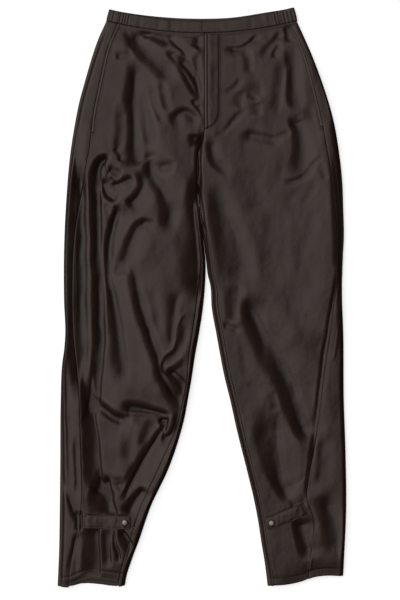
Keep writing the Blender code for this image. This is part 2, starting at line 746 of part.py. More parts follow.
def back_band():
    """The back of the band: flat behind, and round both sides to the side seams."""
    radius = BAND_HEIGHT / 2
    corner = HALF_WAIST - radius
    turns = np.array([0.17, 0.08, 0, -0.08, -0.17]) * 2 * math.pi
    pieces = []
    for side_name, sign in (("right", -1), ("left", 1)):
        top = np.arange(abs(SIDE_SEAM[side_name]) + SEAM_GAP / 2, corner, GATHER_STEP)
        x = sign * np.concatenate([top, [corner], corner + radius * np.cos(turns)])
        z = np.concatenate([BAND_HEIGHT + 0 * top, [BAND_HEIGHT], radius + radius * np.sin(turns)])
        out_x = sign * np.concatenate([0 * top, [0], np.cos(turns)])
        out_z = np.concatenate([1 + 0 * top, [1], np.sin(turns)])
        pieces.append((x, z, out_x, out_z))
    behind = np.linspace(-corner, corner, BEHIND_COLUMNS)
    floor = (behind, 0 * behind, 0 * behind, -1 + 0 * behind)
    left_end = tuple(values[::-1] for values in pieces[1])
    x, z, out_x, out_z = (np.concatenate(parts) for parts in zip(pieces[0], floor, left_end))
    lift = np.where(z == 0, BACK_WAIST_LIFT * (1 - (x / HALF_WAIST) ** 2), 0)
    ripple = np.where(z > 0, gathers(x), 0) * blend(z, 1, BAND_HEIGHT)
    return band_strip(x, z, out_x, out_z, lift, ripple)


# What lies on the front panels.


def pocket_edge(leg, front):
    """A raised edge along the pocket opening, on the panel's own first column."""
    points, out, _ = front
    rows = points[:, 0, 1] > POCKET_END[leg.name]
    share = np.array([0.0, 0.5, 1.0])[None, :, None]
    edge = points[rows, 0:1] + (points[rows, 1:2] - points[rows, 0:1]) * share
    lean = out[rows, 0:1] + (out[rows, 1:2] - out[rows, 0:1]) * share
    lean /= np.linalg.norm(lean, axis=-1, keepdims=True)
    return edge + lean * (SEAM_GAP + SINGLE), lean


def fly_placket():
    """The lapped edge of the left front, with the curved end of its stitching."""
    down = np.linspace(0, 1, FLY_ROWS)[:, None]
    y = FLY_TOP + (FLY_END - FLY_TOP) * down
    to_end = np.clip((y - FLY_END) / FLY_CURVE, 0, 1)
    width = FLY_WIDTH * np.sqrt(np.clip(1 - (1 - to_end) ** 2, FLY_LEAST, 1))
    x = inner_edge(LEFT, y) + SEAM_GAP / 2 + width * np.linspace(0, 1, FLY_COLUMNS)[None, :]
    points, _ = top_face(LEFT, x, y + 0 * x)
    up = np.zeros(points.shape)
    up[..., 2] = 1
    return points + up * (LYING_GAP + SINGLE), up


def strap_sheet(strap):
    root = np.array(strap.root, float)
    run = np.array(strap.tip, float) - root
    across = np.array([-run[1], run[0]]) / np.linalg.norm(run)
    down = np.linspace(0, 1, STRAP_ROWS)[:, None, None]
    side = np.linspace(-0.5, 0.5, STRAP_COLUMNS)[None, :, None] * strap.width
    flat = root + run * down + across * side
    points, _ = top_face(strap.leg, flat[..., 0], flat[..., 1])
    up = np.zeros(points.shape)
    up[..., 2] = 1
    return points + up * (LYING_GAP + DOUBLE), up


# Meshes.


def leather(name, colour, roughness=0.45, metallic=0.0):
    material = bpy.data.materials.new(name)
    material.use_nodes = True
    shader = material.node_tree.nodes["Principled BSDF"]
    shader.inputs["Base Color"].default_value = (*colour, 1)
    shader.inputs["Roughness"].default_value = roughness
    shader.inputs["Metallic"].default_value = metallic
    return material


def add_object(name, mesh, material, parts):
    piece = bpy.data.objects.new(name, mesh)
    mesh.materials.append(material)
    mesh.shade_smooth()
    mesh.set_sharp_from_angle(angle=math.radians(50))
    parts.objects.link(piece)
    return piece


def grid_place(vert, rows, columns):
    """Row and column of a vertex of a fresh unit grid."""
    return round((vert.co.y + 0.5) * (rows - 1)), round((vert.co.x + 0.5) * (columns - 1))


def shell(name, outer, inner, material, parts):
    """A closed wall: a sheet through the outer points, extruded to the inner ones."""
    rows, columns = outer.shape[:2]
    build = bmesh.new()
    bmesh.ops.create_grid(build, x_segments=columns - 1, y_segments=rows - 1, size=0.5)
    places = {vert: grid_place(vert, rows, columns) for vert in build.verts}
    sheet = list(places.items())
    for vert, place in sheet:
        vert.co = Vector(outer[place] * MM)
    bmesh.ops.triangulate(build, faces=build.faces[:], quad_method="SHORT_EDGE")
    whole = build.verts[:] + build.edges[:] + build.faces[:]
    made = bmesh.ops.extrude_face_region(build, geom=whole, use_keep_orig=True)
    below = [item for item in made["geom"] if isinstance(item, bmesh.types.BMVert)]
    by_spot = {tuple(vert.co): place for vert, place in sheet}
    targets = [(vert, by_spot[tuple(vert.co)]) for vert in below]
    for vert, place in targets:
        vert.co = Vector(inner[place] * MM)
    bmesh.ops.recalc_face_normals(build, faces=build.faces[:])
    mesh = bpy.data.meshes.new(name)
    build.to_mesh(mesh)
    build.free()
    return add_object(name, mesh, material, parts)


def snap_cap(strap, material, parts):
    """A domed cap turned about its own axis, standing on its strap."""
    x, y = (np.array([value], float) for value in strap.snap)
    point, out = top_face(strap.leg, x, y)
    lift = LYING_GAP + DOUBLE + SEAM_GAP
    # Down the outer side: crown, shoulder, rolled rim, and back under to the axis.
    profile = [(0, 1.0), (0.45, 0.94), (0.8, 0.72), (0.97, 0.42), (1.0, 0.15), (0.93, 0.0), (0, 0.0)]
    mesh = bpy.data.meshes.new("snap_cap_" + strap.leg.name)
    build = bmesh.new()
    ring = [
        build.verts.new((SNAP_RADIUS * across * MM, 0, SNAP_HEIGHT * up * MM))
        for across, up in profile
    ]
    for upper, lower in zip(ring, ring[1:]):
        build.edges.new((upper, lower))
    build.to_mesh(mesh)
    build.free()
    cap = add_object(mesh.name, mesh, material, parts)
    turn = cap.modifiers.new("turned", "SCREW")
    turn.steps = SNAP_STEPS
    turn.render_steps = SNAP_STEPS
    turn.use_merge_vertices = True
    turn.merge_threshold = 0.00001
    cap.location = Vector((point[0] + out[0] * lift) * MM)
    cap.rotation_mode = "QUATERNION"
    cap.rotation_quaternion = Vector(out[0]).to_track_quat("Z", "Y")
    return cap


def clear_scene():
    for item in list(bpy.data.objects):
        bpy.data.objects.remove(item)


def main():
    clear_scene()
    parts = bpy.data.collections.new("leather_trousers")
    bpy.context.scene.collection.children.link(parts)
    nappa = leather("nappa_dark_brown", (0.028, 0.019, 0.016))
    edge_leather = leather("nappa_band", (0.024, 0.016, 0.014))
    metal = leather("snap_metal", (0.27, 0.24, 0.22), roughness=0.35, metallic=1.0)

    for leg in (RIGHT, LEFT):
        front = front_panel(leg)
        for name, (outer, out, wall) in (("front_", front), ("back_", back_panel(leg))):
            shell(name + leg.name, outer, outer - out * wall[..., None], nappa, parts)
        edge, lean = pocket_edge(leg, front)
        shell("pocket_edge_" + leg.name, edge, edge - lean * SINGLE, nappa, parts)
        outer, out, plain = front_band(leg.name)
        shell("waistband_front_" + leg.name, outer, plain - out * DOUBLE, edge_leather, parts)
    outer, out, plain = back_band()
    shell("waistband_back", outer, plain - out * DOUBLE, edge_leather, parts)
    outer, out = fly_placket()
    shell("fly_placket", outer, outer - out * SINGLE, nappa, parts)
    for strap in STRAPS:
        outer, out = strap_sheet(strap)
        shell("strap_" + strap.leg.name, outer, outer - out * DOUBLE, edge_leather, parts)
        snap_cap(strap, metal, parts)

    root = bpy.data.objects.new("trousers", None)
    bpy.context.scene.collection.objects.link(root)
    for piece in parts.objects:
        piece.parent = root


main()
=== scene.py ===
"""The look of leather trousers that lie flat, front side up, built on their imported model.

Lengths in the tables and in the shape functions are millimetres, as a pattern cutter would
write them, and MM turns them into metres where a mesh is made. +Y is up the garment towards
the waist, +X is towards the wearer's left and +Z is up from the surface.
"""

import math
from typing import NamedTuple

import bmesh
import bpy
import numpy as np
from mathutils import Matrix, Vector


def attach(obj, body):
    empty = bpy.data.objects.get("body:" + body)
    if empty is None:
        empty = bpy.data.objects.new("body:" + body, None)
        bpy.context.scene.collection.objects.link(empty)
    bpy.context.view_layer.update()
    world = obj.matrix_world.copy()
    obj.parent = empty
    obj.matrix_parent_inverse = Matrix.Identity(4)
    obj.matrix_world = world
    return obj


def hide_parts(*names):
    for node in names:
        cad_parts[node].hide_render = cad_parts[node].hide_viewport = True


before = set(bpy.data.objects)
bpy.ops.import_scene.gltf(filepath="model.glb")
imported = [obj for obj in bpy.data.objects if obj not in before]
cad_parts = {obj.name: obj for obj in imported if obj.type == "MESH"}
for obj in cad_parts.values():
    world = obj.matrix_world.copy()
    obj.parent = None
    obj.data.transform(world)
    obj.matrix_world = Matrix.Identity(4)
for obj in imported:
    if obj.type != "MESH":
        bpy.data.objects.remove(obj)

bl_info = {
    "name": "Leather trousers, laid flat",
    "version": (1, 0, 0),
    "blender": (4, 5, 0),
    "location": "3D View > Sidebar > Trousers",
    "description": "Builds nappa trousers with their folds, stitching and snaps",
    "category": "Object",
}

MM = 0.001  # metres
TINY = 1e-12  # keeps a division by a length from failing

# Leather and how high it stands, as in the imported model.
SINGLE = 1.2  # thickness of one layer
DOUBLE = 2.4  # and of hems, waistband and straps
SEAM_GAP = 0.14  # between two pieces at a seam
LYING_GAP = 0.6  # under a strap
RIM_HEIGHT = 7.0  # at the rolled sides
RIM_RADIUS = RIM_HEIGHT / 2
LOFT = 13.5  # well inside the edges
WAIST_REACH = 26.0  # how far below the waistband the loft is reached
HEM_REACH = 20.0  # and how far above the hems
HEM_SHARE = 0.4  # how much of its loft the leather loses at the hems
LOWEST = 3.4  # of the deepest valley
VALLEY_SOFTNESS = 2.0  # how roundly valleys end at the lowest height
FOLD_FULL = 5.0  # how far inside an edge a fold has its full depth
WAIST_LIFT = 0.9  # the leather stands up this much where it meets the waistband
WAIST_LIFT_REACH = 8.0

# Folds.
ROUTE_STEPS = 6  # short runs between two points of a route
DEPTH = 1.6  # all folds are this many times as deep as their drops say
LONGEST_FADE = 55.0  # a fold fades at each end over this length, or over its part of the route
FADE_PART = 4  # which is one in this many
FLANK_SPAN = 1.5  # a flank ends this many widths from its middle
ACROSS = np.linspace(-FLANK_SPAN, FLANK_SPAN, 91)  # places across a flank
SOFT_EDGE = 0.75  # an even flank eases in and out over this many widths
SOFT_SKEW = 0.55  # and a creased one over this many more on one side and fewer on the other
SWELL_SPAN = 3  # a swell has died away this many widths from its route
QUICK_SHARE = 0.3  # this much of a drop comes back over the fold's own rise
SLOW_RISE = 8.0  # and the rest over this many drops
LEVELLED = 0.85  # how much of the folds' broad level is taken out, so that valleys stay shallow
LEVEL_PATCH = 30.0  # size of the patches over which that level is averaged
LEVEL_CELL = 6.0
LEVEL_HALF_WIDTH = 300.0
LEVEL_HALF_HEIGHT = 540.0
STRAP_CALM = (-2.0, 1.5)  # leather turns from flat to folded this far past a strap's edge
FLY_CALM = 14.0  # and over this length past the fly's

# Waist.
BAND_FOOT = 476.0  # the waistband's lower edge at the centre front
BAND_FOOT_RISE = 22.0  # and how much higher it is at the sides
HALF_WAIST = 172.0
BAND_WIDTH = 21.5
BAND_EXTRA = 3.5  # the band is this much wider on the wearer's left
BAND_WIDENS = (40.0, 130.0)  # between these places
BAND_HEIGHT = 8.0
BAND_CROWN = 0.7  # the middle of the band stands this much prouder than its edges
BAND_FULLNESS = 0.6  # the lower, the sooner it does from an edge
BAND_UNDERNEATH = -0.9  # the band is flat where its outside faces further down than this
BAND_ON_TOP = 0.5  # and wavy where it faces further up than this
BAND_ROWS = 15
BAND_COLUMNS = 110  # of a front piece
BAND_SIDE_COLUMNS = 16  # of the back piece on top, at each side
BAND_TURN_COLUMNS = 9  # round a side
BAND_BACK_COLUMNS = 60
BACK_WAIST_LIFT = 5.0  # how much higher the waist is at the centre back
BAND_SPLIT = 1.0  # where the front of the band opens
SIDE_SEAM = {"right": -152.5, "left": 143.5}
GATHER_START = 120.0
GATHER_GROWTH = 26.0  # gathers grow to their full depth over this length
GATHER_PITCH = 6.5
GATHER_DEPTH = 0.5
GATHER_SHARES = (0.55, 0.45)  # of that depth at the band's edges, and more in its middle
SMOOTH_CENTRE = 6.0  # the band has no puckers this close to the centre front

# Crotch and inseam.
CROTCH_TOP = 190.0  # the legs begin to part here
CROTCH_END = 150.0  # and are parted here
CROTCH_ROLLED = 105.0  # from here down the back panel rolls right over at the inseam
SEAM_STAND = 3.5  # how far the back panel stands up past its bend, above the rolled part
LEGS_PARTED = 0.02  # gap between the two legs' outlines
FLAT_INNER = 60.0  # the back panel is flat from here to the centre back

# Fly, pockets and hems.
CENTRE_FRONT = 5.0
FLY_TOP = 474.0
FLY_END = 303.0
FLY_WIDTH = 29.0
FLY_CURVE = 34.0
FLY_STITCH = 2.2  # from the placket's edge to its stitches
FLY_FOLD = 3.6  # width of the rounded fold at the opening
FLY_FOLD_END = 5.2
FLY_FOLD_HEIGHT = 1.2
FLY_FLAT = 0.84  # how high the rest of the placket stands
FLY_FLAT_REACH = 7.0  # and how far in from its edge it does
FLY_THINNEST = 0.1
FLY_TIP = 0.02  # squared share of the width that is left at the very end
FLY_LIFT = 0.2  # from the leather below
ZIP_FADE = (2.0, 8.0)  # the zip stops showing between these distances from the edge
FLY_ROWS = 76
FLY_COLUMNS = 26
POCKET_EDGE_WIDTH = 4.5
POCKET_EDGE_WALL = (0.3, 0.45, 1.1)  # all along, in its round middle, and on its high side
POCKET_EDGE_COLUMNS = 9
POCKET_END = {"right": 294.0, "left": 306.0}
POCKET_STITCH = 7.5
HEM_TURN = 17.0  # how much is turned up
HEM_STEP = 3.0  # the wall thins from two layers to one over this height
HEM_STITCHES = {"right": 17.0, "left": 12.0}
HEM_ROWS_APART = 5.0
BELOW_HEMS = -525.0

# Straps.
STRAP_ROWS = 54
STRAP_COLUMNS = 17
STRAP_CORNER = 4.0
STRAP_CROWN = 0.6

# Seams sink a little where the thread pulls two edges together.
SEAM_SINK = 0.32
SEAM_SINK_WIDTH = 1.8
HEM_SINK = 0.6

# Fineness of the sheets.
CELL = 2.3
FRONT_WIDEST = 225.0
FRONT_COLUMNS = round(FRONT_WIDEST / CELL)
ROW_CROWDING = 0.12  # how much closer a leg's rows are at its ends, from 0 to 1
COLUMN_CROWDING = 0.3  # and its columns at the seams
FLY_CROWDING = 0.7
STRAP_CROWDING = 0.5
WAIST_BEND = 120.0  # rows bend to the waistband over this height
HEM_BEND = 60.0  # and to the hem over this one

# The leather's colour has shade painted into it: darker in valleys, and paler on crests, which is
# part rubbed wear and part painted highlight.
# A point's surroundings are found in this many rounds of averaging, and standing this much over
# them is all of the way from valley to crest.
PAINTED_SHADE_ROUNDS = 14
PAINTED_SHADE_SPREAD = 1.6

# The rounded edge of a wall bulges out by a share of its thickness, up to a limit at seams.
BULGE_SHARE = 0.3
BULGE_LIMIT = SEAM_GAP * 0.3 + 0.03

# Thread.
STITCH_LENGTH = 2.5
STITCH_STEP = 4.0  # between the points that guide a row of stitches
HEM_STITCH_POINTS = 40
STRAP_STITCH_POINTS = 30  # along each side
FLY_STITCH_START = 2  # rows of the placket above the first stitch
SEAM_STITCH = 2.5  # from a seam to its topstitching
STRAP_STITCH = 2.6
THREAD_LIFT = 0.12  # thread lies this far above the leather it runs on
BAND_THREAD_LIFT = 0.1
FLY_THREAD_LIFT = 1.0
STRAP_THREAD_LIFT = 0.35
BARTACK_LIFT = 1.2
HEM_SIDES = (-515.0, -510.0)  # where the hem stitches meet the outer and the inner side of a leg
HEM_STITCH_INSET = 5.0  # from the sides of a leg to the ends of its hem stitches
BAND_STITCHES = (0.1, 0.9)  # shares of the way up the band
POCKET_STITCH_TOP = 486.0
POCKET_STITCH_PAST = 12.0  # how far the stitches run on past a pocket's end
BARTACK_LENGTH = 8.0
BARTACK_POINTS = 6
BARTACK_TURN = 0.2  # from straight across, in radians
BARTACK_INSET = 3.0  # in from the outseam and down from the pocket's end
BARTACK_STITCH = (0.7, 1.6, 0.9)  # pitch, length and thickness

# Stage: lengths in metres, the lens and its sensor in millimetres.
PAPER_HALF = 6.0
PAPER_DROP = 0.0004  # just under the leather, so that no two faces share a plane
SHADED = (0.92, -0.39)  # away from the softbox
SOFTBOX_LEAN = 1.4  # the softbox is this many times as high as it is off to the side
SOFTBOX_EDGE = 0.5  # cosine of the angle at which its glow has faded out
STUDIO_DIM = 0.03
BACKDROP = (0.93, 0.93, 0.93, 1)
LENS = 90.0
SENSOR = 36.0
CAMERA_REACH = 20.0
FRAME_MIDDLE = (-0.00315, -0.0045)
FRAME_LEVEL = 0.006  # height at which the frame is this long
FRAME_LENGTH = 1.080

# Snap caps: half a section, as shares of radius and height.
SNAP_RADIUS = 6.0
SNAP_HEIGHT = 2.8
SNAP_LIFT = 0.7
SNAP_STEPS = 48
SNAP_SLOPE_REACH = 4.0  # a cap leans as the leather does over this reach
SNAP_SECTION = (
    (0, 1.0), (0.25, 0.985), (0.5, 0.93), (0.7, 0.82), (0.82, 0.68), (0.88, 0.56),
    (0.93, 0.5), (0.98, 0.42), (1.0, 0.28), (0.98, 0.12), (0.9, 0.0), (0.0, 0.0),
)


class Drift(NamedTuple):
    """Smooth random values that change over about a size across and a size along."""

    amount: float  # the values run from minus this to this
    across: float
    along: float
    seed: int


DRIFT_START = (330.0, 580.0)  # the lattice starts this far left of the origin and below it
DRIFT_SPAN = (700.0, 1200.0)
LOOSE = (Drift(0.9, 38, 70, 1), Drift(0.4, 17, 34, 2), Drift(0.16, 8, 14, 3))  # lying leather
WANDER_X = Drift(1.5, 24, 36, 11)  # of folds from their routes
WANDER_Y = Drift(1.5, 28, 24, 12)
UNEVEN = Drift(0.1, 18, 30, 13)  # depth of folds
SEAM_PUCKER = Drift(0.5, 60, 7, 21)
GATHER_SHIFT = Drift(0.9, 13, 400, 31)
GATHER_UNEVEN = Drift(0.7, 9, 400, 32)
BAND_WAVE = Drift(0.5, 14, 16, 33)
BAND_PUCKER = Drift(0.35, 7, 400, 34)
ZIP_UNEVEN = Drift(0.6, 40, 12, 41)
STRAP_CRUMPLE = (Drift(0.5, 9, 22, 51), Drift(0.35, 5, 12, 52))


class Ridge(NamedTuple):
    """A ridge along an edge, or a furrow where its height is negative."""

    height: float
    at: float  # distance of its middle from the edge
    width: float

    def over(self, distance):
        return self.height * hump(distance - self.at, self.width)


FLY_GROOVE = Ridge(-0.25, 5.5, 1.3)
FLY_ZIP = Ridge(0.5, 10, 5)
FLY_FURROW = Ridge(-0.22, FLY_STITCH, 1.2)
STRAP_FURROW = Ridge(-0.45, 0.8, 0.07)  # in half widths of the strap
STRAP_TUCK = Ridge(-1.6, 0, 5)


class Leg(NamedTuple):
    """Edges of one leg: rows of (height, across), and hems as rows of (across, height)."""

    name: str
    out: int
    outer_reach: tuple
    inner_reach: float
    outer: tuple
    outseam: tuple
    inner: tuple
    inseam_inset: tuple
    front_hem: tuple
    back_hem: tuple


# The centre front, down to the crotch and a little past it.
CENTRE = (
    (520, 5), (330, 5), (303, 5), (283, 0), (265, -5), (238, -8), (193, -6), (148, -2), (103, 3),
)

RIGHT = Leg(
    name="right",
    out=-1,
    outer_reach=((520, 4), (300, 4), (200, 2), (-200, 2), (-260, 4), (-525, 4)),
    inner_reach=1.8,
    outer=(
        (520, -162), (492, -173), (463, -186), (427, -199), (391, -210), (355, -220),
        (310, -229), (265, -236), (175, -244), (85, -248), (-5, -248), (-69, -246),
        (-95, -248), (-116, -251), (-185, -254), (-300, -255), (-400, -256), (-455, -257),
        (-525, -260),
    ),
    outseam=(
        (520, -146), (490, -153), (467, -162), (433, -173), (397, -181), (328, -195),
        (264, -202), (222, -211), (172, -219), (120, -227), (0, -232), (-69, -230),
        (-120, -225), (-170, -220), (-256, -217), (-355, -215), (-392, -218), (-445, -229),
        (-502, -238), (-525, -239),
    ),
    inner=(
        *CENTRE, (64, 7), (22, 6), (-28, 1), (-60, -4), (-111, -13), (-145, -18),
        (-179, -24), (-217, -31), (-251, -40), (-285, -51), (-316, -63), (-345, -77),
        (-372, -90), (-402, -101), (-435, -112), (-467, -124), (-505, -136), (-525, -139),
    ),
    inseam_inset=((105, 9), (60, 10), (0, 12), (-245, 12), (-300, 18), (-380, 18), (-525, 11)),
    front_hem=((-260, -520), (-239, -519), (-215, -509), (-198, -506), (-181, -508), (-138, -514)),
    back_hem=((-260, -519), (-241, -521), (-215, -515), (-189, -516), (-151, -520), (-137, -518)),
)

LEFT = Leg(
    name="left",
    out=1,
    outer_reach=((520, 1), (300, 1), (220, 3.5), (70, 3.5), (20, 1.2), (-525, 1.2)),
    inner_reach=3.5,
    outer=(
        (522, 161), (490, 174), (463, 186), (424, 203), (370, 223), (321, 237), (265, 247),
        (211, 253), (161, 255), (103, 256), (69, 254), (40, 253), (-5, 253), (-60, 255),
        (-185, 256), (-275, 259), (-393, 260), (-420, 259), (-460, 257), (-525, 254),
    ),
    outseam=(
        (522, 150), (492, 159), (462, 174), (419, 190), (370, 203), (309, 217), (265, 225),
        (222, 233), (181, 238), (120, 243), (64, 246), (31, 244), (-22, 236), (-77, 229),
        (-130, 221), (-193, 213), (-238, 207), (-278, 200), (-335, 191), (-364, 189),
        (-384, 197), (-402, 201), (-431, 200), (-458, 196), (-525, 190),
    ),
    inner=(
        *CENTRE, (64, 8), (40, 11), (24, 15), (-19, 18), (-64, 26), (-103, 33),
        (-139, 40), (-184, 51), (-238, 63), (-310, 81), (-364, 94), (-400, 101),
        (-445, 108), (-490, 116), (-525, 121),
    ),
    inseam_inset=((105, 9), (60, 10), (0, 11), (-525, 11)),
    front_hem=((121, -518), (153, -516), (180, -510), (201, -502), (223, -499), (255, -500)),
    back_hem=((121, -519), (153, -517), (180, -511), (201, -503), (223, -500), (255, -501)),
)
LEGS = {leg.name: leg for leg in (RIGHT, LEFT)}


class Fold(NamedTuple):
    """Where the leather falls away to the left of a route and then comes back up."""

    drop: float
    flank: tuple  # widths of the falling side, at even steps from the route's start to its end
    rise: float  # width of the side that comes back up
    crease: float  # 1 for a sharp crease at the bottom, -1 for a sharp one at the top, 0 for none
    route: tuple  # the middle of the falling side, as (across, height) points
    quick: float = QUICK_SHARE  # share of the drop that comes back over the rise, the rest slowly

    def reach(self):
        return FLANK_SPAN * max(self.flank) + max(self.rise, SLOW_RISE * self.drop)

    def lift(self, side, share):
        return -DEPTH * self.drop * fallen_share(self, side, share)


